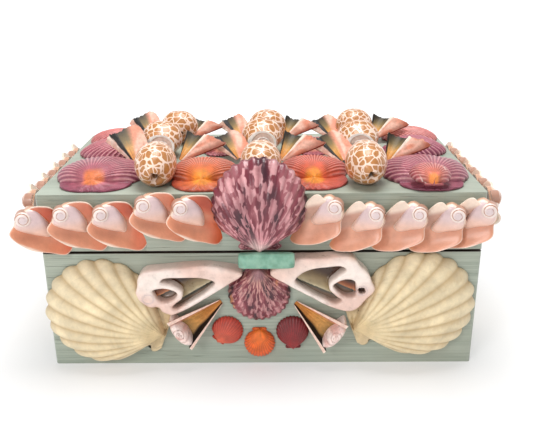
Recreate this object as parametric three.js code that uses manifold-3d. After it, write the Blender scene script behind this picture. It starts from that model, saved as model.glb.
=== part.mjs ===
// Shell box: a painted wooden box with a lift-off lid, covered with glued sea shells.
// Millimetres, +Z up. The origin is the centre of the box's underside, and the front faces -Y.
import * as THREE from 'three';
import { mergeVertices } from 'three/addons/utils/BufferGeometryUtils.js';
import Module from 'manifold-3d';

const wasm = await Module();
wasm.setup();

// ---- driving dimensions ------------------------------------------------------------------
const WIDTH = 300;          // outer width of body and lid
const DEPTH = 165;          // outer depth of body and lid
const BODY_HEIGHT = 87;     // underside to the rim
const SHADOW_GAP = 1.3;     // open line between rim and lid, outside
const LID_HEIGHT = 41;
const WALL = 8;
const FLOOR = 6;
const ROOF = 6;
const LIP_WALL = 3.4;       // locating lip inside the rim
const LIP_RISE = 7;
const LIP_PLAY = 0.5;       // play between lip and lid rebate
const REST_GAP = 0.3;       // what touching pieces keep clear
const EDGE_ROUND = 1.2;     // softened outer corners of the wood
const CUT_TOLERANCE = 0.01; // slivers thinner than this are cleaned from a trimmed shell
const LID_BASE = BODY_HEIGHT + SHADOW_GAP;
const LID_TOP = LID_BASE + LID_HEIGHT;
const SPREAD = THREE.MathUtils.degToRad(64);   // half angle of a scallop's fan at the umbo

const degrees = THREE.MathUtils.degToRad;
const point = (x, y, z) => new THREE.Vector3(x, y, z);

// ---- closed meshes -----------------------------------------------------------------------
// A geometry from corner points and triangles, turned so that its faces point outwards.
function closedMesh(points, triangles) {
  let volume = 0;
  for (const [a, b, c] of triangles) {
    volume += points[a].dot(points[b].clone().cross(points[c]));
  }
  const index = triangles.flatMap(([a, b, c]) => (volume > 0 ? [a, b, c] : [a, c, b]));
  const geometry = new THREE.BufferGeometry();
  const position = points.flatMap((p) => [p.x, p.y, p.z]);
  geometry.setAttribute('position', new THREE.Float32BufferAttribute(position, 3));
  geometry.setIndex(index);
  return geometry;
}

// A skin through closed rings of equal length, with a point closing each end.
function loft(rings, firstTip, lastTip) {
  const count = rings[0].length;
  const points = [...rings.flat(), firstTip, lastTip];
  const first = points.length - 2;
  const last = points.length - 1;
  const triangles = [];
  for (let i = 0; i < count; i++) {
    const next = (i + 1) % count;
    triangles.push([first, next, i]);
    for (let r = 0; r + 1 < rings.length; r++) {
      const here = r * count;
      const above = here + count;
      triangles.push([here + i, here + next, above + next]);
      triangles.push([here + i, above + next, above + i]);
    }
    const top = (rings.length - 1) * count;
    triangles.push([top + i, top + next, last]);
  }
  return closedMesh(points, triangles);
}

// A thick sheet between two surfaces, each a function of u and v from 0 to 1.
function sheet(columns, rows, front, back) {
  const points = [];
  const triangles = [];
  for (const side of [front, back]) {
    for (let r = 0; r <= rows; r++) {
      for (let c = 0; c <= columns; c++) points.push(side(c / columns, r / rows));
    }
  }
  const size = (columns + 1) * (rows + 1);
  const at = (c, r) => r * (columns + 1) + c;
  const quad = (a, b, c, d) => triangles.push([a, b, c], [a, c, d]);
  for (let r = 0; r < rows; r++) {
    for (let c = 0; c < columns; c++) {
      quad(at(c, r), at(c + 1, r), at(c + 1, r + 1), at(c, r + 1));
      quad(size + at(c, r), size + at(c, r + 1), size + at(c + 1, r + 1), size + at(c + 1, r));
    }
  }
  for (let c = 0; c < columns; c++) {
    quad(at(c, 0), size + at(c, 0), size + at(c + 1, 0), at(c + 1, 0));
    quad(at(c + 1, rows), size + at(c + 1, rows), size + at(c, rows), at(c, rows));
  }
  for (let r = 0; r < rows; r++) {
    quad(at(0, r + 1), size + at(0, r + 1), size + at(0, r), at(0, r));
    quad(at(columns, r), size + at(columns, r), size + at(columns, r + 1), at(columns, r + 1));
  }
  return closedMesh(points, triangles);
}

// ---- joins and cuts ----------------------------------------------------------------------
function solidOf(geometry, matrix = new THREE.Matrix4(), swell = 0) {
  const bare = geometry.clone();
  bare.deleteAttribute('normal');
  bare.deleteAttribute('uv');
  const merged = mergeVertices(bare, 1e-4);
  merged.applyMatrix4(matrix);
  const place = merged.getAttribute('position');
  if (swell > 0) {
    merged.computeVertexNormals();
    const normal = merged.getAttribute('normal');
    for (let i = 0; i < place.count; i++) {
      place.setXYZ(
        i,
        place.getX(i) + swell * normal.getX(i),
        place.getY(i) + swell * normal.getY(i),
        place.getZ(i) + swell * normal.getZ(i),
      );
    }
  }
  const vertProperties = new Float32Array(place.array);
  const triVerts = new Uint32Array(merged.getIndex().array);
  return new wasm.Manifold(new wasm.Mesh({ numProp: 3, vertProperties, triVerts }));
}

function geometryOf(solid, matrix = new THREE.Matrix4()) {
  const mesh = solid.getMesh();
  const geometry = new THREE.BufferGeometry();
  geometry.setAttribute('position', new THREE.Float32BufferAttribute(mesh.vertProperties, 3));
  geometry.setIndex(Array.from(mesh.triVerts));
  geometry.applyMatrix4(matrix);
  return geometry;
}

const join = (...geometries) => geometryOf(
  geometries.map((g) => solidOf(g)).reduce((whole, part) => whole.add(part)),
);

const largestOf = (solid) => solid.decompose().sort((a, b) => b.volume() - a.volume())[0];

// ---- painted box -------------------------------------------------------------------------
function roundedRectangle(width, depth, radius) {
  const shape = new THREE.Shape();
  const x = width / 2;
  const y = depth / 2;
  shape.moveTo(-x + radius, -y);
  shape.lineTo(x - radius, -y);
  shape.lineTo(x, -y + radius);
  shape.lineTo(x, y - radius);
  shape.lineTo(x - radius, y);
  shape.lineTo(-x + radius, y);
  shape.lineTo(-x, y - radius);
  shape.lineTo(-x, -y + radius);
  return shape;
}

function block(width, depth, low, high, radius = 0.01) {
  const outline = roundedRectangle(width, depth, radius);
  const geometry = new THREE.ExtrudeGeometry(outline, { depth: high - low, bevelEnabled: false });
  return geometry.translate(0, 0, low);
}

function boxBody() {
  const inner = WALL * 2;
  const lipOuter = (WALL - LIP_WALL) * 2;
  const outside = solidOf(block(WIDTH, DEPTH, 0, BODY_HEIGHT, EDGE_ROUND));
  const lip = solidOf(block(WIDTH - lipOuter, DEPTH - lipOuter, BODY_HEIGHT - 1, BODY_HEIGHT + LIP_RISE));
  const room = solidOf(block(WIDTH - inner, DEPTH - inner, FLOOR, BODY_HEIGHT + LIP_RISE + 1));
  return geometryOf(outside.add(lip).subtract(room));
}

function boxLid() {
  const inner = WALL * 2;
  const rebate = (WALL - LIP_WALL - LIP_PLAY) * 2;
  const seat = BODY_HEIGHT + LIP_RISE + REST_GAP;
  const outside = solidOf(block(WIDTH, DEPTH, LID_BASE, LID_TOP, EDGE_ROUND));
  const room = solidOf(block(WIDTH - inner, DEPTH - inner, LID_BASE - 1, LID_TOP - ROOF));
  const step = solidOf(block(WIDTH - rebate, DEPTH - rebate, LID_BASE - 1, seat));
  return geometryOf(outside.subtract(room).subtract(step));
}

// ---- scallops ----------------------------------------------------------------------------
// Outline of a scallop in its own plane: umbo at the origin, fan opening along +Y.
function scallopOutline(width, height, ribs) {
  const radius = width / 2;
  const centre = height - radius;
  const ear = width * 0.24;
  const steps = ribs * 2;
  const outline = [];
  for (let i = 0; i <= steps; i++) {
    const angle = SPREAD - (2 * SPREAD * i) / steps;
    const reach = Math.sqrt(Math.max(radius ** 2 - (centre * Math.sin(angle)) ** 2, 0));
    const valley = i % 2 ? 1 : 0.975;
    const r = (centre * Math.cos(angle) + reach) * valley;
    outline.push(new THREE.Vector2(r * Math.sin(angle), r * Math.cos(angle)));
  }
  outline.push(new THREE.Vector2(-ear, height * 0.15));
  outline.push(new THREE.Vector2(-ear, -height * 0.02));
  outline.push(new THREE.Vector2(ear, -height * 0.02));
  outline.push(new THREE.Vector2(ear, height * 0.15));
  return outline;
}

const SCALLOP_LEVELS = [[1, 0], [0.7, 0.68], [0.36, 1]];   // share of the reach, share of the dome

function scallopRing(outline, depth, rim, reach, dome) {
  const spokes = outline.length - 4;
  return outline.map((p, i) => {
    const inFan = i < spokes;
    const rib = inFan && i % 2 === 1 ? 1 : 0.93;
    const swell = inFan ? dome * rib * Math.sqrt(Math.sin((Math.PI * (i + 1)) / (spokes + 1))) : 0;
    return point(p.x * reach, p.y * reach, rim + (depth - rim) * swell);
  });
}

// A domed valve with a flat back, as it is glued to a board.
function scallop(width, height, depth, ribs) {
  const outline = scallopOutline(width, height, ribs);
  const rim = Math.min(2, depth * 0.2);
  const rings = SCALLOP_LEVELS.map(([reach, dome]) => scallopRing(outline, depth, rim, reach, dome));
  const back = outline.map((p) => point(p.x, p.y, 0));
  return loft([back, ...rings], point(0, height * 0.5, 0), point(0, 0, depth * 0.6));
}

// A valve that stands free at the top, so that its hollow back shows.
function hollowScallop(width, height, depth, ribs, thickness) {
  const outline = scallopOutline(width, height, ribs);
  const outer = SCALLOP_LEVELS.map(([reach, dome]) => scallopRing(outline, depth, thickness, reach, dome));
  const inner = SCALLOP_LEVELS.map(([reach, dome]) => (
    scallopRing(outline, depth - thickness, 0, reach, dome)
  ));
  return loft([...inner.reverse(), ...outer], point(0, 0, depth * 0.6 - thickness), point(0, 0, depth * 0.6));
}

// ---- netted snail shells ------------------------------------------------------------------
// Whole: the mouth is at y = 0 and the spire at y = length. Cut: the sawn disc is at y = 0.
const WHOLE_SNAIL = [[0, 0.62], [0.1, 0.88], [0.35, 1], [0.66, 0.82], [0.88, 0.42]];
const CUT_SNAIL = [[0, 0.86], [0.12, 0.96], [0.36, 1], [0.66, 0.78], [0.86, 0.4]];
const SNAIL_SIDES = 10;

// The nose is the share of the full height that is left at y = 0.
function snail(width, length, height, profile, hollow, nose = 1) {
  const broadest = 0.36;
  const rings = profile.map(([along, radius]) => {
    const ring = [];
    const squat = nose + (1 - nose) * Math.min(along / broadest, 1);
    for (let i = 0; i < SNAIL_SIDES; i++) {
      const turn = (2 * Math.PI * i) / SNAIL_SIDES;
      const x = (width / 2) * radius * Math.cos(turn);
      const z = (height / 2) * squat * (1 + radius * Math.sin(turn) * 1.06);
      ring.push(point(x, along * length, Math.min(Math.max(z, 0), height)));
    }
    return ring;
  });
  return loft(rings, point(0, length * hollow, height * nose * 0.45), point(0, length, height * 0.52));
}

// ---- wedges sawn from a cone shell ----------------------------------------------------------
// Each is a thick sheet that spreads from an apex at the origin: [x, y, z] of its wide end, from the
// -X side to the +X side, for the face that opens towards +Z and for its back.
const WEDGES = {
  fan: {
    front: [[-24, 27, -3], [-20.5, 29, 3], [-16.5, 29, 3.2], [-10, 35, 1], [-2, 40, 0], [4, 33, 1], [8.5, 18, 3]],
    back: [[-22.5, 26.5, -5.2], [-19, 27, -3.5], [-14.5, 28, -3.5], [-9.5, 34, -2.6], [-2, 39, -2.8],
      [4.5, 32, -1.6], [9.5, 17, 1]],
  },
  scoop: {
    front: [[-9, 29, 8], [-4.5, 30, 4.2], [0.5, 30.5, 3], [5, 29.5, 4.6], [8, 28.7, 7.2], [15.5, 31, 3.6],
      [23, 32.4, -1.6]],
    back: [[-10, 28.5, 6.4], [-5, 29.5, 2.2], [0.5, 29.8, 0.8], [6, 28.6, 2], [9.5, 28, 3.4], [15, 30, 0.2],
      [21.5, 31.4, -3.4]],
  },
  trough: {
    front: [[-11, 42, 12.5], [-8, 42, 5.5], [0, 42, 3], [8, 42, 5.5], [11, 42, 12.5]],
    back: [[-13.5, 42, 12], [-9.5, 42, 3.4], [0, 42, 0.4], [9.5, 42, 3.4], [13.5, 42, 12]],
  },
};
const WEDGE_TIP = 0.14;              // share of the spread at the narrow end

function wedge(kind, scale = 1) {
  const { front, back } = WEDGES[kind];
  const skin = (ends) => (u, v) => {
    const end = ends[Math.round(u * (ends.length - 1))];
    return point(...end).multiplyScalar(scale * (WEDGE_TIP + (1 - WEDGE_TIP) * v));
  };
  return sheet(front.length - 1, 1, skin(front), skin(back));
}

// ---- sawn conch slices along the lid ------------------------------------------------------
// Seen from outside, the nub is at the origin and the open wall runs down and along +X.
// The left row keeps this sense, and the right row is its mirror with a sharper peak.
const SLICE_SHAPES = {
  left: {
    low: [[-8, -6], [-9.5, -10], [1.5, -20], [14, -26], [25, -29], [31, -23]],
    high: [[-7, -4], [2, 4], [7, 7], [14, 8], [20, 5], [28, -14]],
  },
  right: {
    low: [[-5.5, -6], [-4, -17], [6, -24], [17, -28], [29.5, -28.5], [33.5, -22]],
    high: [[-5, -3], [3, 3], [8, 6], [12.5, 8], [17, 4.5], [28, -12]],
  },
};
const LOBE = [[4, 6], [11, 3], [15.5, -8], [12, -15], [-6, -8]];
const LOBE_CENTRE = [6, -4];

const curveThrough = (list) => new THREE.SplineCurve(list.map(([x, y]) => new THREE.Vector2(x, y)));

function concaveWall(shape, thickness) {
  const low = curveThrough(shape.low);
  const high = curveThrough(shape.high);
  const bowlDepth = 6;
  const skin = (lift) => (u, v) => {
    const a = low.getPoint(u);
    const b = high.getPoint(u);
    const rise = (1 - u) * 4 + bowlDepth * (2 * v - 1) ** 2 * (1 - 0.5 * v);
    return point(a.x + (b.x - a.x) * v, a.y + (b.y - a.y) * v, rise + lift);
  };
  return sheet(3, 2, skin(thickness), skin(0));
}

function domedLobe(height) {
  const [cx, cy] = LOBE_CENTRE;
  const ring = (share, z) => LOBE.map(([x, y]) => point(cx + (x - cx) * share, cy + (y - cy) * share, z));
  return loft([ring(0.9, 2), ring(1, height * 0.75)], point(cx, cy, 2), point(cx, cy, height * 1.1));
}

function conchSlice(row) {
  const nub = new THREE.SphereGeometry(5.2, 5, 3).translate(0, 0, 10);
  const whole = join(concaveWall(SLICE_SHAPES[row], 2.2), domedLobe(10), nub);
  return row === 'left' ? whole : mirrored(whole);
}

// The same slice worn down to its wall and lobe.
function wornSlice(row) {
  const whole = join(concaveWall(SLICE_SHAPES[row], 2.2), domedLobe(12));
  return row === 'left' ? whole : mirrored(whole);
}

function mirrored(geometry) {
  const turned = geometry.clone().scale(-1, 1, 1);
  const order = Array.from(turned.getIndex().array);
  for (let i = 0; i < order.length; i += 3) [order[i], order[i + 1]] = [order[i + 1], order[i]];
  turned.setIndex(order);
  return turned;
}

// ---- big sliced conchs on the body front ---------------------------------------------------
// Outline and holes in the plane of the cut, nose at the origin, spire end towards +X.
// Each big conch's cut face, nose at the origin and spire end towards +X.
const CONCHS = {
  left: {
    outline: [
      [0, 0], [20, 5.3], [38, 5], [54, 3.4], [66.5, 1.6], [70.5, -2.5], [71.5, -9], [73, -15.5], [70.5, -20.5], [64, -24.6],
      [58, -25], [55.5, -28], [50, -30.6], [43, -28.6], [27, -19.3], [10, -8],
    ],
    longHole: [
      [18.7, -6.4], [26.5, -3], [42, -2.4], [54, -3.6], [55.5, -6], [46.5, -8.8], [41.2, -12.7], [41.6, -18], [46, -22],
      [48.6, -25], [46, -26.4], [36, -21], [24, -12.7],
    ],
    smallHole: [
      [61.5, -12.4], [56.6, -10.8], [49.5, -11.4], [44.6, -14.4], [47, -18.7], [54, -21.4], [58, -19.4],
    ],
  },
  right: {
    outline: [
      [-1, -1], [11.4, 8.6], [29, 9.9], [48, 10.7], [55.5, 9.3], [59.3, 4.5], [62.8, 1.3], [65.6, -2], [67.8, -8],
      [69.9, -13], [66, -18.6], [62.5, -22.6], [59.6, -26.4], [53, -29.4], [46, -28], [35.5, -23.7], [24, -16.9], [10.4, -9],
    ],
    longHole: [
      [15.6, -6.4], [19.8, -1.2], [27, 2.3], [37.6, 3.8], [47, 4], [50, 1.6], [44, -3.6], [39.2, -8], [39.2, -12.7],
      [43.4, -17.6], [47.6, -21], [44, -23.4], [35.5, -20.3], [25, -14.3],
    ],
    smallHole: [
      [41.6, -10.4], [45.4, -6.8], [52.3, -5.4], [56, -6.8], [57, -12], [56.6, -18], [51.5, -18.8], [45.5, -15.4],
    ],
  },
};
const CONCH_STEPS = 30;

function slicedConch(side, depth) {
  const { outline, longHole, smallHole } = side > 0 ? CONCHS.right : CONCHS.left;
  const loop = (list, steps) => {
    const round = new THREE.CatmullRomCurve3(list.map(([x, y]) => point(x, y, 0)), true, 'centripetal');
    return round.getPoints(steps).slice(0, -1).map((p) => new THREE.Vector2(p.x, p.y));
  };
  const shape = new THREE.Shape(loop(outline, CONCH_STEPS).reverse());
  for (const hole of [longHole, smallHole]) {
    shape.holes.push(new THREE.Path(loop(hole, CONCH_STEPS / 2)));
  }
  const cut = new THREE.ExtrudeGeometry(shape, { depth, bevelEnabled: false });
  const whole = geometryOf(solidOf(cut));
  return side > 0 ? whole : mirrored(whole);
}

// ---- sea-glass tab -------------------------------------------------------------------------
function tab(width, height, thickness) {
  const corner = 3;
  const outline = roundedRectangle(width, height, corner);
  return new THREE.ExtrudeGeometry(outline, {
    depth: thickness - 2, bevelEnabled: true, bevelThickness: 1, bevelSize: 1, bevelOffset: -1, bevelSegments: 1,
  }).translate(0, 0, 1);
}

// ---- materials ----------------------------------------------------------------------------
const FINISHES = {
  paint: [0x9fb0a4, 0.6],
  glass: [0x8fc9b4, 0.4],
  cream: [0xe8d6b4, 0.6],
  conch: [0xf0ddd3, 0.45],
  peach: [0xdf9a78, 0.45],
  calico: [0xb9586a, 0.35],
  salmon: [0xc25a44, 0.45],
  orange: [0xe0762a, 0.45],
  purple: [0x9d4356, 0.45],
  rose: [0xd98b86, 0.45],
  wine: [0x7d2430, 0.45],
  netted: [0xd9a56f, 0.4],
  horn: [0x8a6a3c, 0.35],
};

function finish(name) {
  const [color, roughness] = FINISHES[name];
  return new THREE.MeshStandardMaterial({ color, roughness, metalness: 0 });
}

// ---- the board faces that shells are glued to ---------------------------------------------
const group = new THREE.Group();

// In each face's group +X runs right and +Y up as seen from outside, and +Z leaves the board.
function boardFace(turnX, turnZ, x, y, z) {
  const face = new THREE.Group();
  face.rotation.set(turnX, 0, turnZ, 'ZXY');
  face.position.set(x, y, z);
  group.add(face);
  return face;
}

const quarter = Math.PI / 2;
const FRONT = boardFace(quarter, 0, 0, -DEPTH / 2, 0);
const RIGHT = boardFace(quarter, quarter, WIDTH / 2, 0, 0);
const LEFT = boardFace(quarter, -quarter, -WIDTH / 2, 0, 0);
const TOP = boardFace(0, 0, 0, 0, LID_TOP);

// Glues a piece to a face. The heading is the way its +Y points, anticlockwise from +X.
function glue(face, name, geometry, colour, x, y, { heading = 90, lift = 0, roll = 0, out = REST_GAP } = {}) {
  const mesh = new THREE.Mesh(geometry, finish(colour));
  mesh.name = name;
  mesh.position.set(x, y, out);
  mesh.rotation.set(degrees(lift), degrees(roll), degrees(heading - 90), 'ZXY');
  face.add(mesh);
  return mesh;
}

function stand(name, geometry, colour) {
  const mesh = new THREE.Mesh(geometry, finish(colour));
  mesh.name = name;
  group.add(mesh);
  return mesh;
}

// ---- assembly ------------------------------------------------------------------------------
const body = stand('body', boxBody(), 'paint');
const lid = stand('lid', boxLid(), 'paint');

// body front
const whiteLeft = glue(FRONT, 'white_scallop_left', scallop(78, 85, 17.5, 13), 'cream', -69, 28, { heading: 161 });
const whiteRight = glue(FRONT, 'white_scallop_right', scallop(78, 86, 18, 14), 'cream', 64, 32, { heading: 19 });
const conchLeft = glue(FRONT, 'sliced_conch_left', slicedConch(-1, 13), 'conch', -13, 76);
const conchRight = glue(FRONT, 'sliced_conch_right', slicedConch(1, 13), 'conch', 7, 77);
const wedgeFrontLeft = glue(FRONT, 'front_trough_left', wedge('trough'), 'horn', -24, 54, { heading: 217 });
const wedgeFrontRight = glue(FRONT, 'front_trough_right', wedge('trough'), 'horn', 19, 53, { heading: 320 });
const frontCalico = glue(FRONT, 'front_calico_scallop', scallop(43, 42, 11, 9), 'calico', -2, 78, { heading: 270 });
const smallShells = [
  glue(FRONT, 'small_scallop_left', scallop(22, 22, 6, 6), 'salmon', -32, 19, { heading: 50 }),
  glue(FRONT, 'small_scallop_centre', scallop(22, 23, 6, 6), 'orange', -2, 29, { heading: 270 }),
  glue(FRONT, 'small_scallop_right', scallop(23, 25, 6, 6), 'wine', 22, 13, { heading: 92 }),
];
const glassTab = glue(FRONT, 'sea_glass_tab', tab(37, 10.5, 5), 'glass', 3.5, 88, { out: 13 });

// lid front
const bigCalico = glue(
  FRONT, 'big_calico_scallop', hollowScallop(63, 63, 18, 8, 2.4), 'calico', -1, 92, { heading: 90, out: 3 },
);

// Each row of slices runs away from the middle, and each slice tucks under the one before it.
const SLICE_ROW_LEFT = [[-54, 124], [-78, 126], [-106, 120], [-132, 120], [-157, 117]];
const SLICE_ROW_RIGHT = [[50, 124], [77, 119], [105, 119], [130, 118], [150, 121]];
const SLICE_TURN = 14;      // each slice leans outwards at its nub
const slices = [];
SLICE_ROW_LEFT.forEach(([x, y], i) => slices.push(
  glue(FRONT, `lid_slice_left_${i + 1}`, conchSlice('left'), 'peach', x, y, { roll: SLICE_TURN, out: 5 }),
));
SLICE_ROW_RIGHT.forEach(([x, y], i) => slices.push(
  glue(FRONT, `lid_slice_right_${i + 1}`, conchSlice('right'), 'peach', x, y, { roll: -SLICE_TURN, out: 5 }),
));

// lid sides: a shingled row glued edge to edge
const SIDE_COUNT = 5;
const SIDE_PITCH = 28;
function sideRow(row) {
  const lean = row === 'left' ? 3 : -3;
  const solids = [];
  for (let i = 0; i < SIDE_COUNT; i++) {
    const at = new THREE.Matrix4().makeRotationY(degrees(lean));
    at.setPosition((i - (SIDE_COUNT - 1) / 2) * SIDE_PITCH, 0, 4);
    solids.push(solidOf(wornSlice(row), at));
  }
  return geometryOf(solids.reduce((whole, part) => whole.add(part)));
}
const sideRows = [
  glue(LEFT, 'lid_side_row_left', sideRow('right'), 'peach', 8, 119),
  glue(RIGHT, 'lid_side_row_right', sideRow('left'), 'peach', -8, 119),
];
const sideScallops = [
  glue(LEFT, 'side_scallop_left', scallop(78, 76, 14, 7), 'cream', 0, 6, { heading: 90 }),
  glue(RIGHT, 'side_scallop_right', scallop(78, 76, 14, 7), 'cream', 0, 6, { heading: 90 }),
];

// lid top
const TOP_SCALLOPS = [
  ['top_purple_left', 'purple', 62, 62, 15, -114, -72, 90],
  ['top_orange_left', 'orange', 52, 60, 15, -40, -73, 92],
  ['top_orange_right', 'orange', 50, 62, 15, 36, -71, 88],
  ['top_purple_right', 'purple', 62, 64, 15, 116, -74, 90],
  ['top_rose_left', 'rose', 44, 46, 13, -99, 20, 176],
  ['top_rose_right', 'rose', 44, 46, 13, 101, 22, 4],
  ['top_pink_left', 'rose', 34, 36, 12, -34, 12, 95],
  ['top_pink_right', 'rose', 34, 36, 12, 40, 12, 85],
  ['top_salmon_left', 'salmon', 38, 42, 12, -104, 63, 184],
  ['top_salmon_right', 'salmon', 38, 42, 12, 106, 64, -4],
];
const topScallops = TOP_SCALLOPS.map(([name, colour, width, height, depth, x, y, heading]) => (
  glue(TOP, name, scallop(width, height, depth, 7), colour, x, y, { heading })
));
topScallops.push(
  glue(TOP, 'top_small_orange', scallop(27, 28, 8, 5), 'orange', 113, -86, { heading: 88, lift: 10, out: 6 }),
);

// Three columns of three snails: [x, y] of each mouth or sawn disc.
const SNAILS_FRONT = [[-72, -82], [0, -80], [72, -82]];
const SNAILS_MIDDLE = [[-78, -2], [0, 8], [75, -2]];
const SNAILS_BACK = [[-70, 42], [4, 44], [77, 44]];
const snails = [];
SNAILS_FRONT.forEach(([x, y], i) => snails.push(glue(
  TOP, `snail_front_${i + 1}`, snail(30, 54, 29, WHOLE_SNAIL, 0.2), 'netted', x, y,
)));
SNAILS_MIDDLE.forEach(([x, y], i) => snails.push(glue(
  TOP, `snail_middle_${i + 1}`, snail(32, 36, 26, CUT_SNAIL, 0.04, 0.7), 'netted', x, y, { lift: -2, out: 2 },
)));
SNAILS_BACK.forEach(([x, y], i) => snails.push(glue(
  TOP, `snail_back_${i + 1}`, snail(31, 36, 26, WHOLE_SNAIL, 0.2), 'netted', x, y,
)));

// Wedges lean up and away from each snail: [x, y, scale] of the apex.
const WEDGES_LEFT = [[-92, -24, 1], [-16, -14, 0.9], [62, -23, 0.95], [-91, 48, 0.85], [-16, 48, 0.8], [62, 42, 0.88]];
const WEDGES_RIGHT = [[-63, -18, 1], [12, -20, 1], [90, -28, 1], [-64, 48, 0.85], [15, 46, 0.9], [89, 44, 0.95]];
const LEAN = [38, 29, 29, 38, 34, 30];       // degrees up from the lid
const wedges = [];
WEDGES_LEFT.forEach(([x, y, scale], i) => wedges.push(glue(
  TOP, `top_trough_left_${i + 1}`, wedge('fan', scale), 'horn', x, y, { heading: 97, lift: LEAN[i], out: 2 },
)));
WEDGES_RIGHT.forEach(([x, y, scale], i) => wedges.push(glue(
  TOP, `top_trough_right_${i + 1}`, wedge('scoop', scale), 'horn', x, y, { heading: 54, lift: 27, out: 2 },
)));

// ---- fitting ---------------------------------------------------------------------------------
// Each shell is trimmed clear of the pieces that were set before it.
const SETTING_ORDER = [
  body, lid, ...snails, bigCalico, ...wedges, ...topScallops.slice(-1), ...topScallops.slice(0, -1),
  ...slices, ...sideRows, glassTab, conchLeft, conchRight, whiteLeft, whiteRight,
  wedgeFrontLeft, wedgeFrontRight, frontCalico, ...smallShells, ...sideScallops,
];

function trimClear(order) {
  group.updateMatrixWorld(true);
  const set = [];
  for (const mesh of order) {
    const box = new THREE.Box3().setFromObject(mesh);
    let solid = solidOf(mesh.geometry, mesh.matrixWorld);
    let trimmed = false;
    for (const other of set) {
      if (!other.box.intersectsBox(box)) continue;
      const cut = solid.subtract(other.swollen);
      if (solid.volume() - cut.volume() < 0.01) continue;
      solid = cut;
      trimmed = true;
    }
    if (trimmed) {
      mesh.geometry = geometryOf(largestOf(solid).simplify(CUT_TOLERANCE), mesh.matrixWorld.clone().invert());
    }
    const exact = solidOf(mesh.geometry, mesh.matrixWorld);
    const swollen = solidOf(mesh.geometry, mesh.matrixWorld, REST_GAP).add(exact);
    set.push({ box: box.expandByScalar(REST_GAP), swollen });
  }
}
trimClear(SETTING_ORDER);

export default group;
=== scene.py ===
"""Shell box: detailed shells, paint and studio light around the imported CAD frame.

Shapes are worked out in millimetres, each in its own local space, and then seated on the box's boards.
"""
import math

import bmesh
import bpy
import numpy as np
from mathutils import Matrix, Vector
from mathutils.geometry import delaunay_2d_cdt


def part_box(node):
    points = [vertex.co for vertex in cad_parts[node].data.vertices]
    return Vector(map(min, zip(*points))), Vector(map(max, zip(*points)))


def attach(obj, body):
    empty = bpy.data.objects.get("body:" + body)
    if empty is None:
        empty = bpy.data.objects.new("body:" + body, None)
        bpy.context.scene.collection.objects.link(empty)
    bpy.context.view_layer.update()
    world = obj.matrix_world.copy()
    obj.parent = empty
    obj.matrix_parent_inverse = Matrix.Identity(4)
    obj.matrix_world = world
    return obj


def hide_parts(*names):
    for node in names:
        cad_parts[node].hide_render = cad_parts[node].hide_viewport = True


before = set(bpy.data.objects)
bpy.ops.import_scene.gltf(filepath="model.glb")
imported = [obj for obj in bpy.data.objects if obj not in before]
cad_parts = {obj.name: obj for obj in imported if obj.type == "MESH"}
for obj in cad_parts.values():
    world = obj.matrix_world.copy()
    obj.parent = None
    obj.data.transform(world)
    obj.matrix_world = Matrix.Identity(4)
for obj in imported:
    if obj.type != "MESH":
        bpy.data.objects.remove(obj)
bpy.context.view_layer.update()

MM = 0.001
TAU = 2 * math.pi
SPREAD = math.radians(64)      # widest half angle of a scallop's fan at the umbo


# ---- colour and random fields ---------------------------------------------------------------
def rgb(red, green, blue):
    """A linear colour from its usual 0 to 255 values."""
    share = np.array([red, green, blue]) / 255
    return np.where(share <= 0.04045, share / 12.92, ((share + 0.055) / 1.055) ** 2.4)


def step(low, high, value):
    """Smooth 0 to 1 as value goes from low to high."""
    share = np.clip((value - low) / (high - low), 0, 1)
    return share * share * (3 - 2 * share)


def blend(first, second, mask):
    """Colours between first and second, by a mask from 0 to 1."""
    mask = np.asarray(mask)[..., None]
    return np.asarray(first) * (1 - mask) + np.asarray(second) * mask


def ramp(value, *stops):
    """Colours along (place, colour) stops."""
    places = [place for place, _ in stops]
    return np.stack([np.interp(value, places, [c[i] for _, c in stops]) for i in range(3)], -1)


def field(seed, size, *axes):
    """A smooth random field from about -1 to 1 whose features are about size across."""
    rng = np.random.default_rng(seed)
    total = 0
    waves = 9
    for _ in range(waves):
        direction = rng.normal(size=len(axes))
        direction *= TAU / (size * rng.uniform(1.1, 2.6)) / np.linalg.norm(direction)
        total = total + np.sin(sum(d * a for d, a in zip(direction, axes)) + rng.uniform(0, TAU))
    return total / math.sqrt(waves) * 0.9


def fraction(value):
    return value - np.floor(value)


def level(height):
    """A height that is the same all over a piece."""
    return lambda x, y, s: height + 0 * x


# ---- meshes -------------------------------------------------------------------------------------
class Skin:
    """Points, faces, paint and marks of one piece, in local millimetres."""

    def __init__(self):
        self.points, self.paints, self.marks, self.quads, self.triangles = [], [], [], [], []
        self.count = 0

    def add(self, points, paint, mark=(0.0, 0.0, 0.0)):
        """Adds points of any arrangement and returns their indices in the same arrangement."""
        points = np.asarray(points, float)
        number = points.size // 3
        for store, value in ((self.points, points), (self.paints, paint), (self.marks, mark)):
            store.append(np.broadcast_to(value, points.shape).reshape(number, 3))
        index = np.arange(self.count, self.count + number).reshape(points.shape[:-1])
        self.count += number
        return index

    def grid(self, index, wrap=False):
        """Joins neighbouring rows of points with quads."""
        if wrap:
            index = np.concatenate([index, index[:, :1]], 1)
        corners = (index[:-1, :-1], index[:-1, 1:], index[1:, 1:], index[1:, :-1])
        self.quads.append(np.stack(corners, -1).reshape(-1, 4))

    def fan(self, ring, tip):
        """Closes a ring of points with triangles to one point."""
        following = np.roll(ring, -1)
        self.triangles.append(np.stack([ring, following, np.full_like(ring, tip)], -1))

    def take(self, other, matrix=None):
        """Adds another skin, moved by a matrix."""
        points = np.concatenate(other.points)
        if matrix is not None:
            points = points @ matrix[:3, :3].T + matrix[:3, 3]
        for quads in other.quads:
            self.quads.append(quads + self.count)
        for triangles in other.triangles:
            self.triangles.append(triangles + self.count)
        self.add(points, np.concatenate(other.paints), np.concatenate(other.marks))
        return self

    def mirrored(self):
        return Skin().take(self, np.diag([-1.0, 1, 1, 1]))


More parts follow.
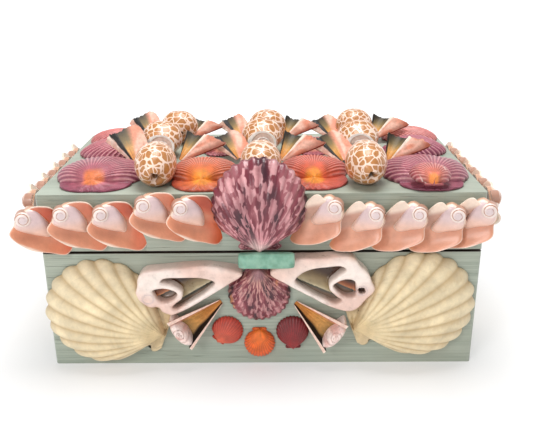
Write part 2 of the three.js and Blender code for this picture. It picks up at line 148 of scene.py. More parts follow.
def normals_of(grid, wrap=False):
    """Unit normals of a grid of points."""
    if wrap:
        padded = np.concatenate([grid[:, -1:], grid, grid[:, :1]], 1)
        across = (padded[:, 2:] - padded[:, :-2])
    else:
        across = np.gradient(grid, axis=1)
    along = np.gradient(grid, axis=0)
    normal = np.cross(across, along)
    return normal / np.maximum(np.linalg.norm(normal, axis=-1, keepdims=True), 1e-9)


def seat(board, x, y, heading=90, lift=0, roll=0, out=0.3):
    """Places a piece on a board: the heading is where its +Y points, anticlockwise from +X."""
    place = np.eye(4)
    place[:3, 3] = (x, y, out)
    return board @ place @ turn("Z", heading - 90) @ turn("X", lift) @ turn("Y", roll)


def turn(axis, degrees):
    """A turn about one axis."""
    return np.array(Matrix.Rotation(math.radians(degrees), 4, axis))


def board(origin, turn_x, turn_z):
    """The frame of one outer face of the box: x and y along it, z out of it."""
    place = np.eye(4)
    place[:3, 3] = origin
    return place @ turn("Z", turn_z) @ turn("X", turn_x)


def make(node, skin, place, material, crease=None, ending="shell"):
    """Turns a skin into a seated piece that rides on the box and stands for a CAD node."""
    name = f"{node}_{ending}"
    points = np.concatenate(skin.points) @ place[:3, :3].T + place[:3, 3]
    quads = np.concatenate(skin.quads) if skin.quads else np.zeros((0, 4), int)
    triangles = np.concatenate(skin.triangles) if skin.triangles else np.zeros((0, 3), int)
    corners = np.concatenate([triangles.ravel(), quads.ravel()])
    quad_starts = len(triangles) * 3 + np.arange(len(quads)) * 4
    starts = np.concatenate([np.arange(len(triangles)) * 3, quad_starts])
    mesh = bpy.data.meshes.new(name)
    mesh.vertices.add(len(points))
    mesh.vertices.foreach_set("co", (points * MM).astype(np.float32).ravel())
    mesh.loops.add(len(corners))
    mesh.loops.foreach_set("vertex_index", corners.astype(np.int32))
    mesh.polygons.add(len(starts))
    mesh.polygons.foreach_set("loop_start", starts.astype(np.int32))
    mesh.update(calc_edges=True)
    paint = mesh.attributes.new("paint", "FLOAT_COLOR", "POINT")
    colours = np.concatenate([np.concatenate(skin.paints), np.ones((len(points), 1))], 1)
    paint.data.foreach_set("color", np.clip(colours, 0, 1).astype(np.float32).ravel())
    mark = mesh.attributes.new("mark", "FLOAT_VECTOR", "POINT")
    mark.data.foreach_set("vector", np.concatenate(skin.marks).astype(np.float32).ravel())
    work = bmesh.new()
    work.from_mesh(mesh)
    bmesh.ops.recalc_face_normals(work, faces=work.faces)
    work.to_mesh(mesh)
    work.free()
    mesh.polygons.foreach_set("use_smooth", np.ones(len(mesh.polygons), bool))
    if crease:
        mesh.set_sharp_from_angle(angle=math.radians(crease))
    mesh.materials.append(material)
    piece = bpy.data.objects.new(name, mesh)
    bpy.context.scene.collection.objects.link(piece)
    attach(piece, "root")
    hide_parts(node)


# ---- outlines ---------------------------------------------------------------------------------
def loop(points, count):
    """A smooth closed curve through a few points, evenly spaced."""
    knots = np.array(points, float)
    size = len(knots)
    fine = []
    for i in range(size):
        a, b, c, d = (knots[(i + k) % size] for k in (-1, 0, 1, 2))
        t = np.linspace(0, 1, 24, endpoint=False)[:, None]
        gaps = [max(math.dist(p, q), 1e-6) ** 0.5 for p, q in ((a, b), (b, c), (c, d))]
        m1 = gaps[1] * ((b - a) / gaps[0] - (c - a) / (gaps[0] + gaps[1]) + (c - b) / gaps[1])
        m2 = gaps[1] * ((c - b) / gaps[1] - (d - b) / (gaps[1] + gaps[2]) + (d - c) / gaps[2])
        cubic = (2 * b - 2 * c + m1 + m2) * t ** 3 + (3 * c - 3 * b - 2 * m1 - m2) * t ** 2 + m1 * t + b
        fine.append(cubic)
    fine = np.concatenate(fine)
    closed = np.concatenate([fine, fine[:1]])
    distance = np.concatenate([[0], np.cumsum(np.linalg.norm(np.diff(closed, axis=0), axis=1))])
    places = np.linspace(0, distance[-1], count, endpoint=False)
    return np.stack([np.interp(places, distance, closed[:, i]) for i in range(2)], -1)


def curve(points, count):
    """A smooth open curve through points of any dimension, evenly spaced from knot to knot."""
    knots = np.array(points, float)
    if len(knots) == 2:
        return knots[0] + (knots[1] - knots[0]) * np.linspace(0, 1, count)[:, None]
    padded = np.concatenate([[2 * knots[0] - knots[1]], knots, [2 * knots[-1] - knots[-2]]])
    place = np.linspace(0, len(knots) - 1, count)
    i = np.minimum(place.astype(int), len(knots) - 2)
    t = (place - i)[:, None]
    a, b, c, d = (padded[i + k] for k in range(4))
    return b + 0.5 * t * (c - a + t * (2 * a - 5 * b + 4 * c - d + t * (3 * (b - c) + d - a)))


def plate(outline, centre, rows, front, back, paint):
    """A closed piece over an outline: front and back give heights at (x, y, s), where s is 1 at the rim."""
    skin = Skin()
    shares = np.linspace(0, 1, rows + 1)[1:] ** 0.8
    centre = np.array(centre, float)
    spread = centre + (outline[None] - centre) * shares[:, None, None]
    s = np.broadcast_to(shares[:, None], spread.shape[:2])
    x, y = spread[..., 0], spread[..., 1]
    rings = []
    for height in (front, back):
        grid = np.stack([x, y, height(x, y, s)], -1)
        tip = np.array([centre[0], centre[1], height(centre[0], centre[1], 0.0)])
        side = 1.0 if height is front else -1.0
        colours = paint(x, y, s, side)
        marks = np.stack([x, y, s], -1)
        index = skin.add(grid, colours, marks)
        skin.grid(index, wrap=True)
        skin.fan(index[0], skin.add(tip[None], colours[0, 0], marks[0, 0])[0])
        rings.append(index[-1])
    skin.grid(np.stack(rings), wrap=True)
    return skin


# ---- scallops ---------------------------------------------------------------------------------
EAR_SHARE = 0.24         # reach of a scallop's square ears, as a share of its width
FOOT_SHARE = 0.02        # how far its hinge lies below the umbo, as a share of its height


def rim_reach(theta, half, corner, width, height, seed, apron):
    """How far a scallop's rim is from its umbo at each angle."""
    radius = width / 2
    centre = height - radius
    angle = np.abs(theta)
    in_fan = angle <= half + 1e-6
    with np.errstate(all="ignore"):
        chord = np.sqrt(np.maximum(radius ** 2 - (centre * np.sin(theta)) ** 2, 0))
        round_edge = centre * np.cos(theta) + chord
        if apron:
            last = round_edge[in_fan][0]
            turned = step(half, math.pi, angle)
            return np.where(in_fan, round_edge, last * (apron * height / last) ** (turned ** 0.8))
        hinge = -height * FOOT_SHARE / np.cos(theta)
        ears = width * EAR_SHARE / np.abs(np.sin(theta))
        notch = 1 - 0.16 * np.exp(-((angle - half - 0.16) / 0.1) ** 2)
        worn = 1 - 0.2 * np.exp(-((angle - corner) / 0.12) ** 2) + 0.03 * field(seed + 7, 0.3, theta)
        return np.where(in_fan, round_edge, np.where(angle > corner + 1e-6, hinge, ears) * notch * worn)


def valve(width, height, depth, ribs, seed, paint, relief=1.0, thickness=None, rows=34, per_rib=6,
          ruffle=0.5, ridge=0.7, apron=0.0):
    """A ribbed scallop: umbo at the origin, fan along +Y, back on z = 0 unless it is a thin free valve.
    The apron is how far rounded ears reach below the umbo, as a share of the height; 0 gives square ears."""
    radius = width / 2
    centre = height - radius
    half = SPREAD if centre <= radius else min(SPREAD, math.asin(radius / centre) * 0.985)
    corner = math.pi / 2 + math.atan(height * FOOT_SHARE / (width * EAR_SHARE))
    fan = np.linspace(-half, half, ribs * per_rib + 1)
    wing = np.linspace(half + 0.01, corner, 12)
    base = np.linspace(corner, math.pi, 12)[1:]
    theta = np.concatenate([-base[::-1][1:], -wing[::-1], fan, wing, base])
    in_fan = np.abs(theta) <= half + 1e-6
    in_base = np.abs(theta) > corner + 1e-6
    reach = rim_reach(theta, half, corner, width, height, seed, apron)
    s = (1 - (1 - np.linspace(0, 1, rows + 1)[1:]) ** 1.12)[:, None]
    q = np.clip(np.abs(theta) / half, 0, 1)[None]
    phase = (theta / half + 1) / 2 * ribs
    rib = np.where(in_fan, np.clip(0.5 - 0.5 * np.cos(TAU * phase), 0, 1) ** ridge, 0.4)[None]
    uneven = 0.012 * field(seed, 0.9, theta)[None] * s ** 4
    edge = 1 + relief / width * 0.55 * (rib - 0.5) * s ** 5 + uneven
    x = reach * s * np.sin(theta) * edge
    y = reach * s * np.cos(theta) * edge
    rim = min(1.4, depth * 0.12)
    rise = 0.55 + 0.45 * np.sin(math.pi / 2 * np.clip(s / 0.4, 0, 1))
    fall = (1 - np.clip((s - 0.4) / 0.6, 0, 1) ** 2.2) ** 0.72
    side = (1 - q ** 3) ** 0.55
    dome = rim + (depth - rim) * rise * fall * side
    ears = rim + 0.1 * depth * (1 - s) + 0.3 * np.sin(9 * np.abs(theta))
    beak = rim + 0.5 * depth * np.sqrt(1 - s ** 2 * 0.999) * step(corner, math.pi, np.abs(theta))[None]
    z = np.where(in_fan, dome, np.where(in_base, beak, ears))
    if apron:
        skirt = rim + depth * 0.5 * (1 - s) ** 2 + 0.5 * s * np.sin(11 * theta)[None]
        z = np.where(in_fan, dome, skirt)
    z = z + ruffle * s ** 4 * field(seed + 1, 0.35, theta)[None] * in_fan
    grid = np.stack([x, y, z], -1)
    grow = np.zeros_like(z)
    rng = np.random.default_rng(seed)
    for place in rng.uniform(0.35, 0.97, 6):
        wobble = place + 0.006 * field(seed + 2, 0.5, theta)[None]
        grow = grow - np.exp(-((s - wobble) / 0.01) ** 2) * rng.uniform(0.1, 0.35)
    lift = relief * (rib - 0.5) * s ** 0.8 * (1 - q ** 10) * in_fan + grow * in_fan * relief * 0.6
    normal = normals_of(grid, wrap=True)
    normal *= np.sign(normal[rows // 2, len(theta) // 2, 2])
    outer = grid + normal * lift[..., None]
    outer[..., 2] = np.maximum(outer[..., 2], rim * 0.4)
    across = np.broadcast_to((theta / half)[None], z.shape)
    round_share = s * ((reach / height)[None] * (1 - s) + s)
    share = np.broadcast_to(round_share, z.shape)
    ridges = np.broadcast_to(rib, z.shape)
    skin = Skin()
    colours = paint(across, share, ridges, 1.0)
    marks = np.stack([across * ribs / 2, share, ridges], -1)
    index = skin.add(outer, colours, marks)
    skin.grid(index, wrap=True)
    top = np.array([0, 0, outer[0, :, 2].mean()])
    skin.fan(index[0], skin.add(top[None], colours[0, len(theta) // 2], marks[0, 0])[0])
    if thickness is not None:
        thin = (thickness * (1 - 0.45 * s ** 6))[..., None]
        inner = outer - normal * thin
        inside = skin.add(inner[:-1], paint(across, share, ridges, -1.0)[:-1], marks[:-1])
        skin.grid(inside, wrap=True)
        skin.grid(np.stack([inside[-1], index[-1]]), wrap=True)
        skin.fan(inside[0], skin.add((top - (0, 0, thickness))[None], colours[0, 0], marks[0, 0])[0])
        return skin
    # The back on the wood and its fan are painted 0.8 times darker, as shade under the valve.
    back = skin.add(outer[-1] * (1, 1, 0), colours[-1] * 0.8, marks[-1])
    skin.grid(np.stack([index[-1], back]), wrap=True)
    middle = np.array([[0, height * 0.5, 0]])
    skin.fan(back, skin.add(middle, colours[-1, 0] * 0.8, marks[0, 0])[0])
    return skin


def scallop_paint(umbo, middle, rim, valley_shade, seed, bands=0.35, pale=None, light=0.0):
    """Colours from umbo to rim, with painted shade in the valleys, in growth bands, and with light lines on
    the ridges as painted highlights.
    """
    def paint(across, s, rib, side):
        wave = field(seed, 0.16, s, across * 0.35) * bands
        colours = ramp(
            s + 0.06 * wave, (0.0, umbo), (0.12, umbo), (0.21, middle), (0.92, rim), (1.0, rim * 0.85))
        colours = colours * (1 + 0.28 * wave[..., None])
        # The valley colour darkens the grooves between the ribs: painted shade.
        colours = blend(colours, valley_shade, (1 - rib) ** 1.5 * 0.62 * step(0.1, 0.4, s))
        if pale is not None:
            flash = step(0.75, 1.35, field(seed + 5, 0.5, s * 2.2, across)) * step(0.3, 0.5, s)
            colours = blend(colours, pale, flash * 0.7)
        # The light lines along the ridge tops are painted highlights.
        if light:
            line = step(0.72, 0.98, rib) * step(0.25, 0.45, s)
            colours = blend(colours, rgb(232, 186, 180), line * light)
        if side < 0:
            colours = blend(colours, rgb(250, 236, 232), 0.75)
        return colours
    return paint


# ---- wedges sawn from a cone shell -------------------------------------------------------------
def slab(front, back, front_paint, back_paint, edge_colours, marks):
    """A closed sheet between two grids. The four sawn edges (first row, last row, first column, last column)
    have colours of their own, with crisp borders."""
    skin = Skin()
    a = skin.add(front, front_paint, marks)
    b = skin.add(back, back_paint, marks)
    skin.grid(a)
    skin.grid(b)
    corner = {}
    for which, where in enumerate((np.s_[0, :], np.s_[-1, :], np.s_[:, 0], np.s_[:, -1])):
        near, far = front[where], back[where]
        rows = [a[where]]
        for share in (0.04, 0.35, 0.65, 0.96):
            points = near * (1 - share) + far * share
            index = skin.add(points, edge_colours[which], marks[where])
            for end in (0, -1):
                key = (share, tuple(np.round(points[end], 4)))
                if key in corner:
                    index[end] = corner[key]
                else:
                    corner[key] = index[end]
            rows.append(index)
        rows.append(b[where])
        skin.grid(np.stack(rows))
    return skin


ROSY = rgb(212, 138, 112)
PINKISH = rgb(226, 180, 160)
SAWN_WHITE = rgb(244, 226, 210)
SOOT = rgb(20, 16, 13)
AMBER = rgb(196, 126, 56)
GOLD = rgb(206, 152, 84)
OLIVE = rgb(126, 108, 72)
SMOKE = rgb(44, 38, 32)
RUST = rgb(132, 52, 28)

# Wide ends of each wedge, from its -X side to its +X side: the open face, then the back.
WEDGES = {
    "fan": (
        [(-24, 27, -3), (-20.5, 29, 3), (-16.5, 29, 3.2), (-10, 35, 1), (-2, 40, 0), (4, 33, 1),
         (8.5, 18, 3)],
        [(-22.5, 26.5, -5.2), (-19, 27, -3.5), (-14.5, 28, -3.5), (-9.5, 34, -2.6), (-2, 39, -2.8),
         (4.5, 32, -1.6), (9.5, 17, 1)],
    ),
    "scoop": (
        [(-9, 29, 8), (-4.5, 30, 4.2), (0.5, 30.5, 3), (5, 29.5, 4.6), (8, 28.7, 7.2), (15.5, 31, 3.6),
         (23, 32.4, -1.6)],
        [(-10, 28.5, 6.4), (-5, 29.5, 2.2), (0.5, 29.8, 0.8), (6, 28.6, 2), (9.5, 28, 3.4), (15, 30, 0.2),
         (21.5, 31.4, -3.4)],
    ),
    "trough": (
        [(-11, 42, 12.5), (-8, 42, 5.5), (0, 42, 3), (8, 42, 5.5), (11, 42, 12.5)],
        [(-13.5, 42, 12), (-9.5, 42, 3.4), (0, 42, 0.4), (9.5, 42, 3.4), (13.5, 42, 12)],
    ),
}
WEDGE_CORNERS = {"fan": (0, 1, 2, 6), "scoop": (0, 4, 6), "trough": (0, 4)}
WEDGE_TIP = 0.14         # share of the spread where a wedge is cut off near its apex


def wedge(kind, scale, seed):
    """A thick sheet that spreads from an apex at the origin, open towards +Z."""
    corners = WEDGE_CORNERS[kind]
    sides = []
    for rays in WEDGES[kind]:
        spans = [curve(rays[i:j + 1], 9 * (j - i) + 1)[:-1] for i, j in zip(corners, corners[1:])]
        sides.append(np.concatenate([*spans, [rays[-1]]]) * scale)
    count = len(sides[0])
    u = np.linspace(0, len(WEDGES[kind][0]) - 1, count)[None]
    v = np.linspace(WEDGE_TIP, 1, 30)[:, None]
    chips = 1 + v ** 6 * (0.014 * field(seed, 0.9, u + 0 * v) + 0.012 * field(seed + 1, 0.3, u + 0 * v))
    front, back = (side[None] * (v * chips)[..., None] for side in sides)
    swell = 0.35 * field(seed + 2, 2.2, u + 0 * v, 5 * v) * np.sin(math.pi * v)
    front = front + np.stack([0 * swell, 0 * swell, swell * (1 if kind == "trough" else 0.6)], -1)
    marks = np.stack(np.broadcast_arrays(u * 3, v * 5, 0 * u * v), -1)
    paint, edges = WEDGE_PAINT[kind](u + 0 * v, v + 0 * u, seed)
    bands = field(seed + 5, 0.3, v + 0.1 * u)
    rusty = step(0.3, 1.2, field(seed + 6, 1.2, u, 3 * v)) * 0.6
    behind = blend(blend(PINKISH, ROSY, step(-0.4, 0.8, bands)), RUST, rusty)
    return slab(front, back, paint, behind, edges, marks)


def inner_glaze(u, v, seed, warm):
    """Amber at the narrow end, olive and smoke towards the wide end, in fine lengthwise streaks."""
    streak = field(seed + 3, 0.16, u, v * 0.3)
    colours = ramp(
        v + 0.05 * streak, (0, AMBER * 0.8), (warm * 0.6, AMBER), (warm, GOLD), (warm + 0.22, OLIVE),
        (1, SMOKE * 1.4))
    return colours * (1 + 0.13 * streak[..., None])


def fan_paint(u, v, seed):
    """Pale outside, a dark sawn wall, then the glazed inside running into rosy flesh."""
    flesh = blend(ROSY * 1.04, PINKISH, step(-0.6, 0.9, field(seed + 4, 1.1, u, 3 * v)))
    inner = blend(inner_glaze(u, v, seed, 0.48), flesh, step(3.3, 4.1, u + 0.3 * v))
    outer = blend(PINKISH, SAWN_WHITE, step(-0.5, 1.0, field(seed + 7, 0.8, u, 5 * v)))
    outer = blend(outer, SOOT, step(0.84, 0.92, u + 0.06 * field(seed + 8, 0.2, v)))
    return blend(outer, inner, step(2.05, 2.25, u)), [ROSY, SAWN_WHITE, PINKISH, SAWN_WHITE]


def scoop_paint(u, v, seed):
    """A soot-lined scoop with a white sawn wall and a rosy, rust-edged outside."""
    colours = inner_glaze(u, v, seed, 0.5)
    colours = blend(SOOT, colours, step(0.16, 0.3, u))
    colours = blend(colours, SMOKE * 0.6, (1 - step(0.3, 1.3, u)) * step(0.55, 0.95, v) * 0.75)
    outer = blend(PINKISH, ROSY, step(-0.5, 0.9, field(seed + 4, 0.9, u, 4 * v)))
    outer = blend(outer, RUST, step(5.0, 6.0, u) * 0.75)
    colours = blend(colours, SAWN_WHITE, step(3.55, 3.68, u))
    return blend(colours, outer, step(4.15, 4.35, u)), [ROSY, SAWN_WHITE, SOOT, RUST]


def trough_paint(u, v, seed):
    """Half soot, half amber glaze, with rosy walls."""
    colours = inner_glaze(u, v, seed, 0.72)
    colours = blend(SOOT, colours, step(0.9, 1.35, u + 0.12 * field(seed + 4, 0.3, v)))
    colours = blend(colours, ROSY, step(2.6, 3.1, u))
    return colours, [ROSY, SAWN_WHITE, rgb(240, 206, 190), rgb(240, 206, 190)]


def whorl_cap(seed):
    """The coiled shoulder that closes the wide end of a front trough."""
    outline = loop([(-14, 39), (-10, 44.5), (0, 46.5), (10, 44.5), (14, 39), (8, 37), (0, 36), (-8, 37)], 72)

    def off_suture(x, y):
        r = np.hypot(x - 1, (y - 41) * 1.25)
        phase = fraction(np.log(np.maximum(r, 0.6) / 9) / math.log(0.5) + np.arctan2(y - 41, x - 1) / TAU)
        return np.minimum(phase, 1 - phase)

    def front(x, y, s):
        hump = 12.4 * np.sqrt(np.maximum(1 - np.asarray(s) ** 3.2, 0))
        return 1.2 + hump - 0.8 * (1 - step(0, 0.16, off_suture(x, y)))

    def paint(x, y, s, side):
        line = 1 - step(0, 0.14, off_suture(x, y))
        colours = blend(rgb(244, 222, 214), rgb(230, 188, 178), step(0, 1, field(seed, 6, x, y)))
        return blend(colours, rgb(176, 124, 104), line * 0.5)

    return plate(outline, (0, 41), 18, front, level(0.2), paint)


WEDGE_PAINT = {"fan": fan_paint, "scoop": scoop_paint, "trough": trough_paint}


# ---- netted snail shells ------------------------------------------------------------------------
BROAD = 0.4              # where a snail is broadest, as a share of its length
NO_NET = -500.0          # mark of a sawn face, which has no net pattern
SAWN_NOSE = 0.7          # share of its full height at a sawn snail's cut face


def snail(width, length, height, seed, whole=True):
    """Mouth or sawn disc at y = 0, spire towards +Y, resting on z = 0."""
    rows, columns = 54, 60
    t = np.linspace(0.004 if whole else 0.0, 0.996, rows)[:, None]
    angle = np.linspace(0, TAU, columns, endpoint=False)[None]
    if whole:
        front = (1 - np.clip((BROAD - t) / BROAD, 0, 1) ** 1.9) ** 0.62
    else:
        front = SAWN_NOSE + (1 - SAWN_NOSE) * np.sin(math.pi / 2 * np.clip(t / BROAD, 0, 1))
    behind = (1 - np.clip((t - BROAD) / (1 - BROAD), 0, 1) ** 1.75) ** 0.86
    profile = np.where(t < BROAD, front, behind)
    whorl = np.log(np.clip(1.02 - t, 0.01, 1) / 0.66) / math.log(0.6) + angle / TAU
    groove = np.clip(np.sin(math.pi * fraction(whorl)), 0, 1) ** 0.45
    profile = profile * (1 - 0.14 * (1 - groove) * step(0.5, 0.62, t))
    lump = 1 + 0.02 * field(seed, 1.2, 3 * t, np.cos(angle), np.sin(angle))
    x = width / 2 * profile * np.cos(angle) * lump
    y = t * length + 0 * angle
    z = height / 2 * profile * (1 + np.sin(angle) * 1.03 * lump)
    mouth = np.zeros_like(x)
    if whole:
        z = height / 2 * (1 + profile * np.sin(angle) * 1.06 * lump)
        spot = ((t - 0.05) / 0.07) ** 2 + ((angle - math.radians(292)) / 0.6) ** 2
        mouth = np.exp(-spot)
        lips = np.exp(-((np.sqrt(spot) - 1.35) / 0.35) ** 2)
        x = x * (1 - 0.4 * mouth + 0.03 * lips)
        y = y + 6 * mouth - 0.8 * lips
        z = z + 2.5 * mouth
    z = np.clip(z, 0, height)
    grid = np.stack(np.broadcast_arrays(x, y, z), -1)
    marks = np.stack([x, y * 1.15, z], -1) + (seed % 7) * 37.0
    skin = Skin()
    tan = blend(rgb(186, 126, 70), rgb(206, 148, 98), step(0.2, 0.8, t + 0 * angle))
    # The mouth is painted dark brown, as shade in the opening.
    colours = blend(tan, rgb(40, 26, 12), step(0.35, 0.8, mouth))
    index = skin.add(grid, colours, marks)
    skin.grid(index, wrap=True)
    tip = skin.add(np.array([[0, length, z[-1].mean()]]), colours[-1, 0], marks[-1, 0])[0]
    skin.fan(index[-1], tip)
    if whole:
        front_tip = np.array([[0, 0, height * 0.5]])
        skin.fan(index[0], skin.add(front_tip, colours[0, 0], marks[0, 0])[0])
    else:
        sawn_disc(skin, grid[0], index[0])
    return skin


def sawn_disc(skin, ring, ring_index):
    """Closes a sawn snail with its flat cut face: a white ring around a coiled chamber, with painted shade in
    its opening.
    """
    rows = 26
    shares = np.linspace(1, 0, rows + 1)[:-1][:, None]
    angle = np.linspace(0, TAU, len(ring), endpoint=False)[None]
    coil = fraction(np.log(shares / 0.9) / math.log(0.46) - angle / TAU + 0.3)
    wall = np.maximum(1 - step(0.12, 0.22, coil), step(0.84, 0.96, coil))
    wall = np.maximum(wall, step(0.8, 0.86, shares))
    hollow = (1 - wall) * step(0.05, 0.3, shares)
    opening = np.exp(-((shares - 0.62) / 0.16) ** 2 - ((angle - math.radians(222)) / 0.5) ** 2)
    middle = np.array([0, 0, ring[:, 2].mean()])
    points = middle + (ring[None] - middle) * shares[..., None]
    points[..., 1] += 1.9 * hollow + 3.5 * opening * (shares < 0.97)
    colours = blend(rgb(250, 244, 238), rgb(214, 170, 146), hollow * 0.6)
    # The opening is painted dark brown, as shade in the hole.
    colours = blend(colours, rgb(48, 36, 26), step(0.35, 0.75, opening))
    far = np.full(points.shape, NO_NET)
    index = skin.add(points, colours, far)
    skin.grid(np.concatenate([ring_index[None], index]), wrap=True)
    skin.fan(index[-1], skin.add(middle[None], rgb(240, 225, 214), far[0, 0])[0])


# ---- conch slices in the lid rows ---------------------------------------------------------------
# Seen from outside, the nub is at the origin and the open wall runs down and along +X.
SLICE_WALL = {
    "left": [(6, 7), (13, 7.5), (18.5, 5.8), (24, -5), (28, -14.5), (27.4, -17.6), (31, -22.3), (28, -27),
             (24.6, -29), (14, -25.5), (1.5, -20.3), (-9.6, -9.8), (-7, -5.7), (0, 2)],
    "right": [(7, 5), (10, 8), (12.7, 8), (16.7, 4.5), (26, -9.2), (33.5, -21.5), (29.5, -28.7), (16.8, -28),
              (6, -24), (-3.6, -17.8), (-3.9, -10.8), (-5.6, -5.6), (0, 2)],
}
SLICE_LOBE = {
    "left": [(2, 5.7), (8.6, 5.7), (13.1, 0), (16.2, -8.3), (15.6, -15.6), (11.5, -15), (-3.5, -8.8),
             (-6.5, -5.2)],
    "right": [(3.5, 6.6), (8, 5), (12.5, -4), (16.8, -12.8), (13.7, -15.3), (5.8, -13.3), (-3.6, -9.7),
              (-5, -2)],
}
SLICE_RISE = 21          # height of a slice above its low edge
LOW_EDGE = {"left": ((-9.6, -9.8), (24.6, -29)), "right": ((-4.5, -18), (29.5, -30))}
BUTTER = rgb(246, 226, 208)
PETAL = rgb(232, 184, 160)
PEACH = rgb(222, 146, 112)
FIRE = rgb(210, 78, 26)
EMBER = rgb(150, 46, 20)
LAVENDER = rgb(222, 200, 200)


def conch_slice(row, warmth, seed):
    """One sawn slice: a concave wall, a smooth inner lobe and the polished nub of the spire."""
    start, end = (np.array(p, float) for p in LOW_EDGE[row])
    along = (end - start) / np.linalg.norm(end - start)
    across = np.array([-along[1], along[0]])
    reach = np.linalg.norm(end - start)

    def place(x, y):
        a = (x - start[0]) * along[0] + (y - start[1]) * along[1]
        b = (x - start[0]) * across[0] + (y - start[1]) * across[1]
        return a / reach, b / SLICE_RISE

    def wall_front(x, y, s):
        a, b = place(x, y)
        bowl = 4 * (1 - a) + 4 * (2 * b - 1) ** 2 * (1 - 0.4 * b) - 1.2 * np.exp(-((b - 0.62) / 0.2) ** 2)
        return bowl + 1.6 - 0.9 * np.asarray(s) ** 14 + 0.25 * field(seed, 12, x, y)

    def wall_back(x, y, s):
        return wall_front(x, y, 0) - 2.3

    def wall_paint(x, y, s, side):
        a, b = place(x, y)
        warm = step(0.45, 1.05, a + 0.25 * (b - 0.5) + 0.05 * field(seed + 1, 9, x, y))
        warm = np.maximum(warm, step(0.55, 1.0, b) * step(-0.1, 0.45, a) * 0.9)
        hot = blend(PEACH, FIRE, min(1.0, warmth * 1.15))
        colours = blend(blend(PETAL, PEACH, 0.35 + 0.65 * warmth), hot, warm)
        colours = blend(colours, EMBER, warm * step(0.6, 1.05, b) * warmth * 0.75)
        if row == "right":
            grey = step(0.5, 0.75, b) * (1 - step(0.75, 1.0, a)) * (1 - step(0.9, 1.0, s))
            colours = blend(colours, rgb(186, 150, 134), grey * 0.75)
            colours = blend(colours, rgb(240, 168, 112), step(0.85, 1.05, a) * 0.6)
            colours = blend(colours, BUTTER, step(1.0, 1.2, b) * 0.8)
        colours = blend(colours, PEACH, (1 - step(0.1, 0.5, b)) * 0.5 * (1 - warm))
        # Along the thick low rim: pale, and lighter still as a painted highlight; the cut rim all round is
        # cream.
        low = (1 - step(-0.14, -0.1, b)) * (1 - step(0.7, 0.95, a)) * 0.9
        colours = blend(colours, BUTTER, np.maximum(low, step(0.965, 0.995, s) * 0.8))
        # Painted shadow of the lobe, falling on the wall next to it.
        lobe_shadow = np.exp(-(((x - 4) / 10) ** 2 + ((y + 0.35 * x + 12) / 4.5) ** 2))
        colours = blend(colours, rgb(168, 100, 72), lobe_shadow * 0.55)
        return colours if side > 0 else blend(colours, BUTTER, 0.6)

    wall = plate(loop(SLICE_WALL[row], 110), (13, -10), 20, wall_front, wall_back, wall_paint)

    def lobe_front(x, y, s):
        tilt = 0.16 * (6 - np.asarray(x)) + 0.1 * (np.asarray(y) + 4)
        return 3.4 + 5.2 * (1 - np.asarray(s) ** 5) ** 0.5 + tilt * 0.8 + 0.2 * field(seed + 3, 8, x, y)

    def lobe_paint(x, y, s, side):
        colours = blend(LAVENDER, PETAL, (1 - step(-12, -1, np.asarray(y))) * 0.75 + 0.1)
        colours = blend(colours, rgb(204, 176, 178), step(1, 7, x) * step(-9, 0, y) * 0.6)
        colours = blend(colours, BUTTER, step(0.86, 0.95, s))
        # The lobe's outer edge is painted brown, as shade in the crease between lobe and wall.
        return blend(colours, rgb(190, 132, 96), step(0.975, 1.0, s) * 0.8)

    lobe = plate(loop(SLICE_LOBE[row], 84), (6, -4), 18, lobe_front, level(2.0), lobe_paint)
    skin = Skin().take(wall).take(lobe).take(nub(5.3))
    return skin.mirrored() if row == "right" else skin


def nub(radius):
    """The polished tip of the spire, with a fine brown suture coiling into it."""
    angles = 64
    angle = np.linspace(0, TAU, angles, endpoint=False)
    outline = np.stack([radius * np.cos(angle), radius * np.sin(angle)], -1)

    def coil(x, y):
        r = np.maximum(np.hypot(x, y) / radius, 0.05)
        turned = np.arctan2(y, x) / TAU
        return r, fraction(np.log(r / 0.98) / math.log(0.52) + turned + 0.42)

    def front(x, y, s):
        r, phase = coil(x, y)
        groove = (1 - step(0.0, 0.13, np.minimum(phase, 1 - phase))) * step(0.2, 0.5, r)
        return 8.0 + 3.0 * np.sqrt(np.maximum(1 - r ** 2.6, 0)) - 0.5 * groove

    def paint(x, y, s, side):
        r, phase = coil(x, y)
        groove = (1 - step(0.04, 0.15, np.minimum(phase, 1 - phase))) * step(0.3, 0.5, r)
        colours = blend(rgb(238, 222, 214), rgb(220, 200, 200), step(0.2, 0.7, 1 - r))
        colours = blend(colours, rgb(176, 108, 66), groove * 0.9)
        return blend(colours, rgb(160, 96, 60), step(0.93, 1.0, r) * 0.8)

    return plate(outline, (0, 0), 16, front, level(3.0), paint)


